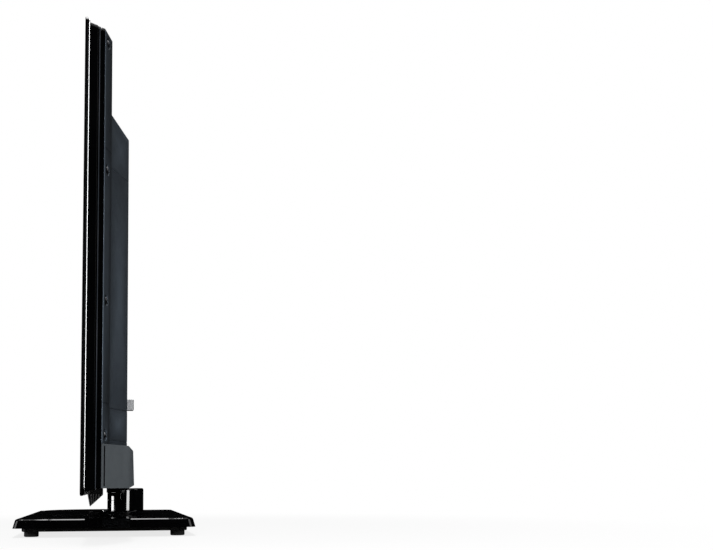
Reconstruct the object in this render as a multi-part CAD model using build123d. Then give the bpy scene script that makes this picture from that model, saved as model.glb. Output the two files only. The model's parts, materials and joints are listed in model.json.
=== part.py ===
from build123d import *
import math
import os

# Picture and borders of a 40 inch class set, in millimetres
picture_width = 885.6
picture_height = 498.1
side_border = 45.2
top_border = 48.2
bottom_border = 56.7
head_width = picture_width + 2 * side_border
head_height = picture_height + top_border + bottom_border

# Where the head stands over its base, with the feet on zero and the base's middle on the origin
foot_height = 7.8
base_thickness = 18.1
head_lift = 33.6
head_front = -29.5
base_top = foot_height + base_thickness
head_bottom = base_top + head_lift
head_top = head_bottom + head_height
picture_middle = head_bottom + bottom_border + picture_height / 2

# Fits and cuts
overrun = 5.0
part_gap = 0.3
running_gap = 0.05

# Depths of the head's layers, front to back
plate_thickness = 2.9
trim_thickness = 2.8
cabinet_depth = 19.5
rim_depth = 9.0
bulge_depth = 24.2
plate_back = head_front + plate_thickness
trim_back = plate_back + trim_thickness
cabinet_back = trim_back + cabinet_depth
rim_back = cabinet_back + rim_depth
bulge_back = rim_back + bulge_depth

# Front plate and bright trim
head_corner = 9.0
plate_edge_radius = 1.3
window_reveal = 0.5
window_corner = 1.5
window_bevel = 1.5
trim_inset = 0.7
trim_width = 6.5
window_width = picture_width + 2 * window_reveal
window_low = picture_middle - picture_height / 2 - window_reveal
window_high = picture_middle + picture_height / 2 + window_reveal

# Front cabinet
cabinet_wall = 2.5
cabinet_side_inset = 5.2
cabinet_top_inset = 4.5
cabinet_bottom_inset = 5.2
cabinet_side_draft = 2.8
cabinet_top_draft = 5.8
cabinet_bottom_draft = 3.0
cabinet_step_depth = 0.6
cabinet_step_from_front = 10.3
cabinet_groove_from_front = 14.0
cabinet_groove_width = 1.1
cabinet_groove_depth = 0.7
window_rib = 2.0
cabinet_front_wall_back = trim_back + cabinet_wall

# Rear cover: a rim that slopes in at the sides, and a raised middle
cover_wall = 2.2
cover_corner = 10.0
rim_side_run = 29.4
rim_top_run = 2.6
bulge_front_width = 784.0
bulge_back_width = 660.0
bulge_top_drop = 91.6
bulge_top_run = 13.0
lower_cover_height = 53.8
seam_width = 1.3
seam_depth = 0.8
seam_low_rise = 111.6
seam_high_rise = 434.0
bulge_line_rise = 69.6

# Lower rear cover
lower_depth = 41.7
lower_back_width = 784.0
lower_lean = 1.5
lower_top_chamfer = 6.0
lower_bottom_chamfer = 3.5
lower_slot_width = 2.4
lower_slot_length = 16.0
lower_slot_pitch = 9.5
lower_slot_count = 30
lower_slot_inset = 5.5
lower_slot_from_middle = 150.0

# Cover screws and the bosses that take them
cover_screw_radius = 1.5
cover_screw_head_radius = 4.2
cover_screw_head_height = 2.6
cover_screw_length = 12.0
counterbore_radius = 7.4
counterbore_wall = 2.0
counterbore_floor = 2.5
boss_radius = 4.4
screw_side_inset = 14.4
screw_top_inset = 27.8
screw_low_rise = 10.5
side_screw_count = 4
top_screw_count = 4
top_screw_span = 690.0

# Vent grille in the rear cover
grille_width = 520.0
grille_height = 36.0
grille_top_drop = 134.0
grille_flange = 4.0
grille_flange_thickness = 1.5
grille_slot_width = 2.8
grille_slot_height = 27.0
grille_slot_pitch = 10.0

# Display module: clamp frame, cell, sheets, guide, light bars, pan
module_margin_x = 14.7
module_margin_z = 15.4
clamp_steel = 0.8
clamp_reveal = 1.5
cell_thickness = 1.8
cell_margin = 9.7
frame_ledge = 1.5
frame_wall = 7.0
frame_reveal = 1.8
sheet_thickness = 1.2
sheet_play = 0.5
guide_thickness = 4.0
guide_margin = 1.2
reflector_thickness = 0.5
pan_steel = 1.0
bar_board = 1.2
bar_depth = 4.2
led_count = 20
led_width = 5.6
led_height = 2.6
pan_rib_width = 24.0
pan_rib_height = 2.0
pan_rib_rises = (125.0, 415.0)

module_half_width = picture_width / 2 + module_margin_x
module_half_height = picture_height / 2 + module_margin_z
clamp_front = cabinet_front_wall_back
cell_front = clamp_front + clamp_steel
cell_back = cell_front + cell_thickness
sheet_front = cell_back + frame_ledge
guide_front = sheet_front + sheet_thickness
guide_back = guide_front + guide_thickness
reflector_back = guide_back + reflector_thickness
pan_back = reflector_back + pan_steel
frame_half_width = module_half_width - clamp_steel - part_gap
frame_half_height = module_half_height - clamp_steel - part_gap
pocket_half_width = frame_half_width - frame_wall
pocket_half_height = frame_half_height - frame_wall
guide_half_width = picture_width / 2 + guide_margin
guide_half_height = picture_height / 2 + guide_margin

# Boards behind the pan
board_thickness = 1.6
post_radius = 3.0
post_inset = 8.0
main_board_width = 196.0
main_board_height = 212.0
main_board_x = -216.0
main_board_rise = 92.0
socket_depth = 14.8
power_board_width = 196.0
power_board_height = 270.0
power_board_x = 220.0
power_board_rise = 92.0
power_post_height = 7.0
timing_board_width = 220.0
timing_board_height = 44.0
low_post_height = 2.5
source_board_length = 380.0
source_board_height = 16.0
source_board_thickness = 1.2
source_board_gap = 80.0
source_board_drop = 64.0
ribbon_span = 47.0
ribbon_width = 30.0
ribbon_thickness = 0.8
ribbon_lap = 7.0
ribbon_from_middle = 70.0
main_board_back = bulge_back - socket_depth
main_board_front = main_board_back - board_thickness
power_board_front = pan_back + power_post_height
power_board_back = power_board_front + board_thickness
timing_board_front = pan_back + low_post_height
timing_board_back = timing_board_front + board_thickness
main_board_low = head_bottom + main_board_rise
power_board_low = head_bottom + power_board_rise
source_board_high = head_top - source_board_drop + source_board_height / 2
source_board_low = source_board_high - source_board_height
timing_board_high = source_board_low - ribbon_span
timing_board_low = timing_board_high - timing_board_height

# Heat sink and power parts
sink_width = 48.0
sink_height = 48.0
sink_base = 2.5
sink_depth = 9.0
sink_fin = 1.6
sink_fin_count = 9
sink_rise = 96.0
transformer_width = 42.0
transformer_height = 38.0
transformer_depth = 22.0
capacitor_radius = 11.0
capacitor_depth = 20.0
capacitor_pitch = 27.0
capacitor_count = 3
transformer_count = 2
transformer_pitch = 70.0
transformer_x_share = -0.22
transformer_rise = 46.0
capacitor_x_share = 0.27
capacitor_rise = 40.0
filter_width = 30.0
filter_height = 26.0
filter_depth = 18.0
filter_rise = 180.0

# Wall-mount posts, M6 on a 200 mm square
mount_spacing = 200.0
mount_rise_share = 0.46434
mount_post_radius = 6.5
mount_hole_radius = 3.0
mount_hole_depth = 20.0
mount_flange_radius = 13.0
mount_flange_thickness = 2.0
mount_middle = head_bottom + mount_rise_share * head_height

# Terminal panel and its sockets
terminal_width = 184.0
terminal_height = 112.0
terminal_x = -208.0
terminal_rise = 90.0
terminal_flange = 4.0
terminal_flange_thickness = 1.5
terminal_corner = 3.0
aerial_x = -191.0
aerial_width = 20.0
aerial_reach = 20.8
aerial_rise = 162.6
aerial_wall = 1.2
aerial_barrel_radius = 4.7
aerial_bore_radius = 5.6
aerial_pin_radius = 1.1
aerial_bore_depth = 9.0
hdmi_width = 15.6
hdmi_height = 6.2
hdmi_wall = 0.6
hdmi_tongue = 1.8
hdmi_cavity_depth = 10.0
hdmi_count = 3
hdmi_pitch = 26.0
hdmi_rise = 120.0
hdmi_x = -252.0
jack_size = 10.0
jack_bore_radius = 1.8
jack_collar_radius = 4.0
jack_collar_height = 0.8
jack_count = 3
jack_pitch = 18.0
jack_rise = 104.0
jack_x = -168.0
terminal_low = head_bottom + terminal_rise
terminal_high = terminal_low + terminal_height

# Mains inlet
inlet_x = 250.0
inlet_rise = 100.0
inlet_width = 27.0
inlet_height = 17.0
inlet_depth = 19.0
inlet_wall = 3.6
inlet_cavity_depth = 11.0
inlet_round_share = 0.9
inlet_pin_radius = 1.2
inlet_pin_pitch = 8.6
inlet_pin_recess = 1.5
inlet_flange = 3.0
inlet_flange_thickness = 1.6

# Key panel, key board and push buttons
key_x = -421.0
key_rise = 270.0
key_pitch = 22.0
key_panel_width = 26.0
key_panel_margin = 15.0
key_flange = 3.0
key_flange_thickness = 1.5
button_width = 12.0
button_height = 8.0
button_corner = 1.5
button_proud = 1.0
button_lip = 1.2
button_lip_thickness = 1.0
button_rest_gap = 0.4
button_stem = 4.0
button_travel = 0.5
switch_size = 6.0
switch_plunger_radius = 1.7
switch_plunger_height = 0.8
key_names = ["power", "menu", "volume_up", "volume_down", "channel_up", "channel_down"]
key_count = len(key_names)
key_middle = head_bottom + key_rise
key_board_front = pan_back + low_post_height
key_board_back = key_board_front + board_thickness

# Speakers
speaker_x = 262.0
speaker_width = 150.0
speaker_height = 34.0
speaker_depth = 27.0
speaker_corner = 4.0
speaker_ring_radius = 12.5
speaker_ring_height = 1.6
speaker_cone_radius = 10.5
speaker_cone_depth = 5.0
speaker_dome_radius = 3.5

# Chin with the remote sensor
chin_top_width = 172.0
chin_tip_width = 120.0
chin_front_gap = 0.6
chin_tip_drop = 20.4
chin_tip_depth = 4.6
chin_heel_depth = 11.0
chin_heel_drop = 14.8
chin_back_depth = 24.3
chin_back_drop = 2.7
chin_wall = 2.0
chin_rib_count = 5
chin_rib_groove = 1.2
sensor_width = 26.0
sensor_height = 9.0
sensor_thickness = 1.4
sensor_board_width = 60.0
sensor_board_height = 9.0
indicator_radius = 1.3
indicator_from_sensor = 22.0

# Base
base_width = 525.0
base_depth = 258.0
base_skirt = 13.1
base_draft = 3.6
base_edge_radius = 4.0
base_front_corner = 10.0
base_rear_corner = 16.0
base_wall = 3.0
base_plate_inset = 12.0
base_plate_steel = 2.5
base_plate_wall = 2.0
base_plate_corner = 8.0
base_plate_edge = 1.5
base_rib = 2.0
base_cross_rib_count = 6
base_long_rib_count = 3
foot_radius = 10.4
foot_recess_depth = 1.2
foot_recess_radius = 5.0
foot_inset_x = 36.5
foot_inset_y = 24.5
base_screw_radius = 2.0
base_screw_head_radius = 4.0
base_screw_head_height = 2.4
base_screw_length = 9.0
base_boss_radius = 5.0
base_screw_inset_x = 92.5
base_screw_inset_y = 41.0
base_screw_columns = 3
skirt_bottom = base_top - base_skirt
base_plate_rim = 4.2

# Swivel
swivel_y = -20.0
disc_bottom_radius = 91.0
disc_top_radius = 80.0
disc_height = 5.4
disc_lift = 0.4
disc_wall = 2.4
swivel_plate_radius = 76.0
swivel_plate_steel = 2.0
stud_radius = 8.0
stud_head_radius = 14.0
hub_wall = 4.0
hub_flange_radius = 24.0
hub_flange_thickness = 2.0
ring_inner_radius = 52.0
ring_width = 9.0
ring_groove_depth = 1.6
nut_radius = 13.0
nut_height = 3.8
nut_flange_radius = 15.0
nut_flange_thickness = 1.4
swivel_reach_degrees = 20.0
stop_pin_radius = 3.0
stop_pin_circle = 36.0
stop_pin_length = 4.2
swivel_plate_bottom = base_top + disc_lift
swivel_plate_top = swivel_plate_bottom + swivel_plate_steel
disc_bottom = base_top + disc_lift
disc_top = disc_bottom + disc_height

# Neck
neck_radius = 30.0
neck_y = 32.5
neck_height = 36.0
neck_wall = 3.0
neck_edge_radius = 3.0
neck_split_depth = 22.0
post_socket_height = 16.5
post_height = 12.3
collar_overhang = 1.4
channel_half_width = 16.0
channel_depth = 8.0
channel_steel = 2.5
channel_setback = 11.5
channel_rise = 54.0
bracket_half_width = 60.0
bracket_height = 58.0
bracket_steel = 2.5
bolt_radius = 2.5
bolt_head_radius = 4.5
bolt_head_height = 3.0
bolt_length = 9.0
bolt_half_spacing_x = 8.0
bolt_half_spacing_z = 11.0
neck_bottom = disc_top
neck_top = neck_bottom + neck_height
neck_front = neck_y - neck_radius
neck_split = neck_front + neck_split_depth
post_bottom = neck_bottom + post_socket_height
collar_bottom = post_bottom + post_height
lower_bottom = head_bottom + cabinet_bottom_inset + cabinet_bottom_draft + cabinet_step_depth
lower_top = lower_bottom + lower_cover_height
cover_bottom = lower_top + part_gap
channel_front = neck_front + channel_setback


def upright(y, width, low, high, radius, middle=0):
    """Rounded rectangle standing across the set at depth y."""
    place = Plane.XZ.offset(-y) * Pos(middle, (low + high) / 2)
    return place * RectangleRounded(width, high - low, radius)


def arch(y, width, low, high, radius):
    """Rectangle across the set at depth y with only its two upper corners rounded."""
    face = Plane.XZ.offset(-y) * Pos(0, (low + high) / 2) * Rectangle(width, high - low)
    return fillet(face.vertices().group_by(Axis.Z)[-1], radius)


def slab(y_front, y_back, width, low, high, radius, middle=0):
    """Rounded plate between two depths."""
    face = upright(y_front, width, low, high, radius, middle)
    return extrude(face, amount=y_back - y_front, dir=(0, 1, 0))


def block(x_low, x_high, y_low, y_high, z_low, z_high):
    """Plain box between two corners."""
    middle = Pos((x_low + x_high) / 2, (y_low + y_high) / 2, (z_low + z_high) / 2)
    return middle * Box(x_high - x_low, y_high - y_low, z_high - z_low)


def rod(x, z, y_front, y_back, radius):
    """Round bar along the set's depth."""
    face = Plane.XZ.offset(-y_front) * Pos(x, z) * Circle(radius)
    return extrude(face, amount=y_back - y_front, dir=(0, 1, 0))


def pillar(x, y, z_low, z_high, radius):
    """Round upright bar."""
    return Pos(x, y, (z_low + z_high) / 2) * Cylinder(radius, z_high - z_low)


def spread(count, span):
    """Evenly spaced places over a span about zero."""
    return [span * (index / (count - 1) - 1 / 2) for index in range(count)]


def cabinet_outline(y, shrink):
    """The front cabinet's outline at depth y, drawn in by shrink."""
    share = (y - trim_back) / cabinet_depth
    side = cabinet_side_inset + share * cabinet_side_draft + shrink
    top = cabinet_top_inset + share * cabinet_top_draft + shrink
    bottom = cabinet_bottom_inset + share * cabinet_bottom_draft + shrink
    return (y, head_width - 2 * side, head_bottom + bottom, head_top - top, head_corner)


def cabinet_form(y_front, y_back, shrink):
    """Tapered solid that follows the cabinet's outline between two depths."""
    outlines = [cabinet_outline(y_front, shrink), cabinet_outline(y_back, shrink)]
    return loft([upright(*outline) for outline in outlines], ruled=True)


def cover_screw_places():
    """Middles of the rear cover's screws: up both sides and along the top."""
    side_x = head_width / 2 - cabinet_side_inset - cabinet_side_draft - screw_side_inset
    low = cover_bottom + screw_low_rise
    high = head_top - screw_top_inset
    step = (high - low) / (side_screw_count - 1)
    sides = [(way * side_x, low + index * step) for way in (-1, 1) for index in range(side_screw_count)]
    tops = [(x, high) for x in spread(top_screw_count, top_screw_span)]
    return sides + tops


def make_front_plate():
    plate = slab(head_front, plate_back, head_width, head_bottom, head_top, head_corner)
    front_edges = plate.faces().sort_by(Axis.Y)[0].outer_wire().edges()
    plate = fillet(front_edges, min(plate_edge_radius, plate_thickness / 2))
    cut = (window_width, window_low, window_high, window_corner)
    plate -= slab(head_front - overrun, plate_back + overrun, *cut)
    window_edges = plate.faces().sort_by(Axis.Y)[0].inner_wires()[0].edges()
    return chamfer(window_edges, min(window_bevel, plate_thickness / 2))


def make_trim_band():
    inner = trim_inset + trim_width
    outer_size = (head_width - 2 * trim_inset, head_bottom + trim_inset, head_top - trim_inset)
    inner_size = (head_width - 2 * inner, head_bottom + inner, head_top - inner)
    band = slab(plate_back, trim_back, *outer_size, head_corner)
    return band - slab(plate_back - overrun, trim_back + overrun, *inner_size, head_corner)


def make_front_cabinet():
    step_y = trim_back + cabinet_step_from_front
    body = cabinet_form(trim_back, step_y, 0)
    body += cabinet_form(step_y, cabinet_back, cabinet_step_depth)
    inner = cabinet_wall + cabinet_step_depth
    body -= cabinet_form(cabinet_front_wall_back, cabinet_back + overrun, inner)
    groove_y = trim_back + cabinet_groove_from_front
    groove_end = groove_y + cabinet_groove_width
    groove = slab(groove_y, groove_end, head_width, head_bottom, head_top, head_corner)
    groove -= cabinet_form(groove_y, groove_end, cabinet_step_depth + cabinet_groove_depth)
    body -= groove
    ribbed = window_rib
    rib = (window_width + 2 * ribbed, window_low - ribbed, window_high + ribbed, window_corner + ribbed)
    body += slab(plate_back, cabinet_front_wall_back, *rib)
    for x, z in cover_screw_places():
        body += rod(x, z, cabinet_front_wall_back - cabinet_wall / 2, cabinet_back, boss_radius)
    window = (window_width, window_low, window_high, window_corner)
    body -= slab(plate_back - overrun, cabinet_back, *window)
    hole_front = cabinet_back + counterbore_floor - cover_screw_length - part_gap
    holes = []
    for x, z in cover_screw_places():
        holes.append(rod(x, z, hole_front, cabinet_back + overrun, cover_screw_radius + running_gap))
    return body - holes


def cover_form(shrink, low):
    """The rear cover's outer form, drawn in by shrink, from a lower level up."""
    side = cabinet_side_inset + cabinet_side_draft + cabinet_step_depth + shrink
    top = cabinet_top_inset + cabinet_top_draft + cabinet_step_depth + shrink
    rim_width = head_width - 2 * side
    rim_high = head_top - top
    rim_front_face = arch(cabinet_back, rim_width, low, rim_high, cover_corner)
    rim_end = (rim_width - 2 * rim_side_run, low, rim_high - rim_top_run, cover_corner)
    rim = loft([rim_front_face, arch(rim_back - shrink, *rim_end)], ruled=True)
    bulge_high = head_top - bulge_top_drop - shrink
    bulge_start = (bulge_front_width - 2 * shrink, low, bulge_high, cover_corner)
    bulge_end = (bulge_back_width - 2 * shrink, low, bulge_high - bulge_top_run, cover_corner)
    front_face = arch(rim_back - shrink, *bulge_start)
    bulge = loft([front_face, arch(bulge_back - shrink, *bulge_end)], ruled=True)
    return rim + bulge


def panel_cut(width, low, high, middle, y_back):
    """Straight opening through the rear cover for an inset piece."""
    half = width / 2 + part_gap
    sides = (middle - half, middle + half)
    return block(*sides, y_back - cover_wall - overrun, y_back + overrun, low - part_gap, high + part_gap)


def make_rear_cover():
    outer = cover_form(0, cover_bottom)
    hollow = cover_form(cover_wall, cover_bottom - overrun)
    inset = cabinet_side_inset + cabinet_side_draft + cabinet_step_depth + cover_wall
    top_inset = cabinet_top_inset + cabinet_top_draft + cabinet_step_depth + cover_wall
    mouth = (head_width - 2 * inset, cover_bottom - overrun, head_top - top_inset, cover_corner)
    hollow += extrude(arch(cabinet_back - overrun, *mouth), amount=overrun, dir=(0, 1, 0))
    cover = outer - hollow
    cup = counterbore_radius + counterbore_wall
    cups = [rod(x, z, cabinet_back, rim_back, cup) for x, z in cover_screw_places()]
    cover += [outer & each for each in cups]
    floor = cabinet_back + counterbore_floor
    cuts = [rod(x, z, floor, rim_back + overrun, counterbore_radius) for x, z in cover_screw_places()]
    hole = cover_screw_radius + running_gap
    cuts += [rod(x, z, cabinet_back - overrun, rim_back, hole) for x, z in cover_screw_places()]
    for way_x in (-1, 1):
        for way_z in (-1, 1):
            x = way_x * mount_spacing / 2
            z = mount_middle + way_z * mount_spacing / 2
            cuts.append(rod(x, z, rim_back, bulge_back + overrun, mount_post_radius + part_gap))
    grille_middle = head_top - grille_top_drop
    grille_half = grille_height / 2
    grille_levels = (grille_middle - grille_half, grille_middle + grille_half)
    cuts.append(panel_cut(grille_width, *grille_levels, 0, bulge_back))
    cuts.append(panel_cut(terminal_width, terminal_low, terminal_high, terminal_x, bulge_back))
    inlet_middle = head_bottom + inlet_rise
    inlet_half = inlet_height / 2
    inlet_levels = (inlet_middle - inlet_half, inlet_middle + inlet_half)
    cuts.append(panel_cut(inlet_width, *inlet_levels, inlet_x, bulge_back))
    key_half = key_pitch * (key_count - 1) / 2 + key_panel_margin
    key_levels = (key_middle - key_half, key_middle + key_half)
    cuts.append(panel_cut(key_panel_width, *key_levels, key_x, rim_back))
    cover -= cuts
    line = cover_form(seam_depth, cover_bottom - overrun)
    for rise in (seam_low_rise, seam_high_rise, bulge_line_rise):
        z = head_bottom + rise
        start = rim_back if rise == bulge_line_rise else cabinet_back
        band = block(-head_width / 2, head_width / 2, start, bulge_back + overrun, z, z + seam_width)
        cover -= band - line
    return cover


def lower_profile():
    """Side outline of the lower rear cover."""
    back = cabinet_back + lower_depth
    bevel = lower_bottom_chamfer
    points = [
        (cabinet_back, lower_bottom),
        (back - 2 * bevel, lower_bottom),
        (back, lower_bottom + bevel),
        (back - lower_lean, lower_top - lower_top_chamfer),
        (back - lower_lean - lower_top_chamfer, lower_top),
        (cabinet_back, lower_top),
    ]
    return Plane.YZ * Polygon(*points, align=None)


def lower_plan():
    """Outline of the lower rear cover from above."""
    front_half = head_width / 2 - cabinet_side_inset - cabinet_side_draft - cabinet_step_depth
    back_half = lower_back_width / 2
    back = cabinet_back + lower_depth
    points = [(-front_half, cabinet_back), (front_half, cabinet_back)]
    points += [(back_half, back), (-back_half, back)]
    return Plane.XY.offset(lower_bottom - overrun) * Polygon(*points, align=None)


def lower_form(shrink):
    """The lower cover's form, drawn in by shrink."""
    side = lower_profile()
    plan = lower_plan()
    if shrink:
        side = offset(side, amount=-shrink, kind=Kind.INTERSECTION)
        plan = offset(plan, amount=-shrink, kind=Kind.INTERSECTION)
    across = extrude(side, amount=head_width / 2, both=True)
    return across & extrude(plan, amount=lower_cover_height + 2 * overrun)


def make_lower_cover():
    cover = lower_form(0) - lower_form(cover_wall)
    front_half = head_width / 2 - cabinet_side_inset - cabinet_side_draft - cabinet_step_depth
    half = front_half - 3 * cover_wall
    levels = (lower_bottom + cover_wall, lower_top - cover_wall)
    cover -= block(-half, half, cabinet_back - overrun, cabinet_back + 2 * cover_wall, *levels)
    slot_front = cabinet_back + lower_slot_inset
    slot_back = slot_front + lower_slot_length
    cuts = []
    for way in (-1, 1):
        for index in range(lower_slot_count):
            x = way * (lower_slot_from_middle + index * lower_slot_pitch)
            edges = (x - lower_slot_width / 2, x + lower_slot_width / 2)
            depth = (lower_bottom - overrun, lower_bottom + cover_wall + overrun / 2)
            cuts.append(block(*edges, slot_front, slot_back, *depth))
    reach = channel_half_width + part_gap
    channel_back = channel_front + channel_depth
    door = (channel_front - part_gap, channel_back + part_gap)
    cuts.append(block(-reach, reach, *door, lower_bottom - overrun, lower_bottom + 2 * cover_wall))
    notch = channel_half_width + bracket_steel + part_gap
    notch_back = channel_front + part_gap
    notch_levels = (lower_top - 2 * cover_wall, lower_top + overrun)
    cuts.append(block(-notch, notch, cabinet_back - overrun, notch_back, *notch_levels))
    return cover - cuts


def make_cover_screws():
    screws = []
    seat = cabinet_back + counterbore_floor
    for x, z in cover_screw_places():
        screw = rod(x, z, seat - cover_screw_length, seat, cover_screw_radius)
        head = rod(x, z, seat, seat + cover_screw_head_height, cover_screw_head_radius)
        rim = head.faces().sort_by(Axis.Y)[-1].edges()
        screws.append(screw + chamfer(rim, cover_screw_head_height / 3))
    return Compound(children=screws)


def make_vent_grille():
    middle = head_top - grille_top_drop
    low = middle - grille_height / 2
    high = middle + grille_height / 2
    inner = bulge_back - cover_wall
    grille = block(-grille_width / 2, grille_width / 2, inner, bulge_back, low, high)
    side = grille_width / 2 + grille_flange
    back = inner - grille_flange_thickness
    grille += block(-side, side, back, inner, low - grille_flange, high + grille_flange)
    count = int(grille_width / grille_slot_pitch) - 1
    slots = []
    for x in spread(count, (count - 1) * grille_slot_pitch):
        edges = (x - grille_slot_width / 2, x + grille_slot_width / 2)
        levels = (middle - grille_slot_height / 2, middle + grille_slot_height / 2)
        slots.append(block(*edges, back - overrun, bulge_back + overrun, *levels))
    return grille - slots


def centred_slab(y_front, y_back, half_width, half_height, radius):
    """Rounded plate centred on the picture."""
    levels = (picture_middle - half_height, picture_middle + half_height)
    return slab(y_front, y_back, 2 * half_width, *levels, radius)


def make_cell_clamp_frame():
    clamp = centred_slab(clamp_front, pan_back, module_half_width, module_half_height, window_corner)
    inner = (module_half_width - clamp_steel, module_half_height - clamp_steel)
    clamp -= centred_slab(cell_front, pan_back + overrun, *inner, window_corner / 2)
    view = (picture_width / 2 + clamp_reveal, picture_height / 2 + clamp_reveal)
    return clamp - centred_slab(clamp_front - overrun, pan_back, *view, window_corner)


def make_lcd_cell():
    half = (picture_width / 2 + cell_margin, picture_height / 2 + cell_margin)
    return centred_slab(cell_front, cell_back, *half, window_corner)


def make_sheet_frame():
    frame = centred_slab(cell_back, reflector_back, frame_half_width, frame_half_height, window_corner)
    pocket = (pocket_half_width, pocket_half_height)
    frame -= centred_slab(sheet_front, reflector_back + overrun, *pocket, window_corner)
    view = (picture_width / 2 + frame_reveal, picture_height / 2 + frame_reveal)
    return frame - centred_slab(cell_back - overrun, reflector_back, *view, window_corner)


def make_diffuser_sheets():
    half = (pocket_half_width - sheet_play, pocket_half_height - sheet_play)
    return centred_slab(sheet_front, guide_front, *half, window_corner)


def make_light_guide():
    return centred_slab(guide_front, guide_back, guide_half_width, guide_half_height, window_corner)


def make_reflector_sheet():
    return centred_slab(guide_back, reflector_back, guide_half_width, guide_half_height, window_corner)


def make_led_bars():
    bars = []
    for way in (-1, 1):
        outer = picture_middle + way * pocket_half_height
        inner = outer - way * bar_board
        levels = sorted((outer, inner))
        half = guide_half_width - bar_board
        bar = block(-half, half, guide_front, guide_front + bar_depth, *levels)
        tip = inner - way * led_height
        for x in spread(led_count, 2 * half - 4 * led_width):
            edges = (x - led_width / 2, x + led_width / 2)
            bar += block(*edges, guide_front, guide_front + bar_depth, *sorted((inner, tip)))
        bars.append(bar)
    return Compound(children=bars)


def make_chassis_pan():
    half = (frame_half_width, frame_half_height)
    pan = centred_slab(reflector_back, pan_back, *half, window_corner)
    rib_width = 2 * (half[0] - pan_rib_width)
    for rise in pan_rib_rises:
        z = head_bottom + rise
        levels = (z - pan_rib_width / 2, z + pan_rib_width / 2)
        pan += slab(pan_back, pan_back + pan_rib_height, rib_width, *levels, pan_rib_width / 3)
    return pan


def board_corners(x, width, low, height):
    """Post places near a board's four corners."""
    reach = width / 2 - post_inset
    return [(x + way * reach, z) for way in (-1, 1) for z in (low + post_inset, low + height - post_inset)]


def make_board(x, width, low, height, y_front):
    """Bare board with a hole over each post's stud."""
    board = block(x - width / 2, x + width / 2, y_front, y_front + board_thickness, low, low + height)
    holes = []
    for post_x, post_z in board_corners(x, width, low, height):
        stud = post_radius / 2 + running_gap
        holes.append(rod(post_x, post_z, y_front - overrun, y_front + board_thickness + overrun, stud))
    return board - holes


def make_posts(x, width, low, height, y_front):
    """Shouldered posts from the pan to a board."""
    posts = []
    for post_x, post_z in board_corners(x, width, low, height):
        post = rod(post_x, post_z, pan_back, y_front, post_radius)
        post += rod(post_x, post_z, y_front, y_front + board_thickness, post_radius / 2)
        posts.append(post)
    return posts


def make_board_posts():
    posts = make_posts(main_board_x, main_board_width, main_board_low, main_board_height, main_board_front)
    posts += make_posts(power_board_x, power_board_width, power_board_low, power_board_height, power_board_front)
    posts += make_posts(0, timing_board_width, timing_board_low, timing_board_height, timing_board_front)
    posts += make_posts(key_x, *key_board_size(), key_board_front)
    return Compound(children=posts)


def make_main_heat_sink():
    x = main_board_x
    low = main_board_low + sink_rise
    front = main_board_back
    back = front + sink_base
    sink = block(x - sink_width / 2, x + sink_width / 2, front, back, low, low + sink_height)
    for offset_x in spread(sink_fin_count, sink_width - sink_fin):
        edges = (x + offset_x - sink_fin / 2, x + offset_x + sink_fin / 2)
        sink += block(*edges, front, front + sink_depth, low, low + sink_height)
    return sink


def make_power_parts():
    parts = []
    front = power_board_back
    for index in range(transformer_count):
        x = power_board_x + transformer_x_share * power_board_width
        z = power_board_low + transformer_rise + index * transformer_pitch
        half = transformer_width / 2
        core = block(x - half, x + half, front, front + transformer_depth, z, z + transformer_height)
        parts.append(core)
    for index in range(capacitor_count):
        x = power_board_x + capacitor_x_share * power_board_width
        z = power_board_low + capacitor_rise + index * capacitor_pitch
        can = rod(x, z, front, front + capacitor_depth, capacitor_radius)
        rim = can.faces().sort_by(Axis.Y)[-1].edges()
        parts.append(chamfer(rim, capacitor_radius / 8))
    x = power_board_x
    z = power_board_low + filter_rise
    edges = (x - filter_width / 2, x + filter_width / 2)
    parts.append(block(*edges, front, front + filter_depth, z, z + filter_height))
    return Compound(children=parts)


def make_source_boards():
    boards = []
    for way in (-1, 1):
        edges = sorted((way * source_board_gap / 2, way * (source_board_gap / 2 + source_board_length)))
        back = pan_back + source_board_thickness
        boards.append(block(*edges, pan_back, back, source_board_low, source_board_high))
    return Compound(children=boards)


def make_ribbon_cables():
    cables = []
    top = timing_board_high
    low = source_board_low
    near = timing_board_back
    far = pan_back + source_board_thickness
    points = [
        (near, top - ribbon_lap),
        (near + ribbon_thickness, top - ribbon_lap),
        (near + ribbon_thickness, top + ribbon_lap),
        (far + ribbon_thickness, low - ribbon_lap / 2),
        (far + ribbon_thickness, low + ribbon_lap),
        (far, low + ribbon_lap),
        (far, low - ribbon_lap / 2),
        (near, top + ribbon_lap),
    ]
    for way in (-1, 1):
        face = Plane.YZ.offset(way * ribbon_from_middle - ribbon_width / 2) * Polygon(*points, align=None)
        cables.append(extrude(face, amount=ribbon_width))
    return Compound(children=cables)


def make_mount_posts():
    posts = []
    for way_x in (-1, 1):
        for way_z in (-1, 1):
            x = way_x * mount_spacing / 2
            z = mount_middle + way_z * mount_spacing / 2
            post = rod(x, z, pan_back, bulge_back, mount_post_radius)
            post += rod(x, z, pan_back, pan_back + mount_flange_thickness, mount_flange_radius)
            post -= rod(x, z, bulge_back - mount_hole_depth, bulge_back + overrun, mount_hole_radius)
            posts.append(post)
    return Compound(children=posts)


def hdmi_places():
    """Middles of the picture sockets, one above the other."""
    return [(hdmi_x, head_bottom + hdmi_rise + index * hdmi_pitch) for index in range(hdmi_count)]


def jack_places():
    """Middles of the round audio jacks, in a row."""
    return [(jack_x + index * jack_pitch, head_bottom + jack_rise) for index in range(jack_count)]


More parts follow.
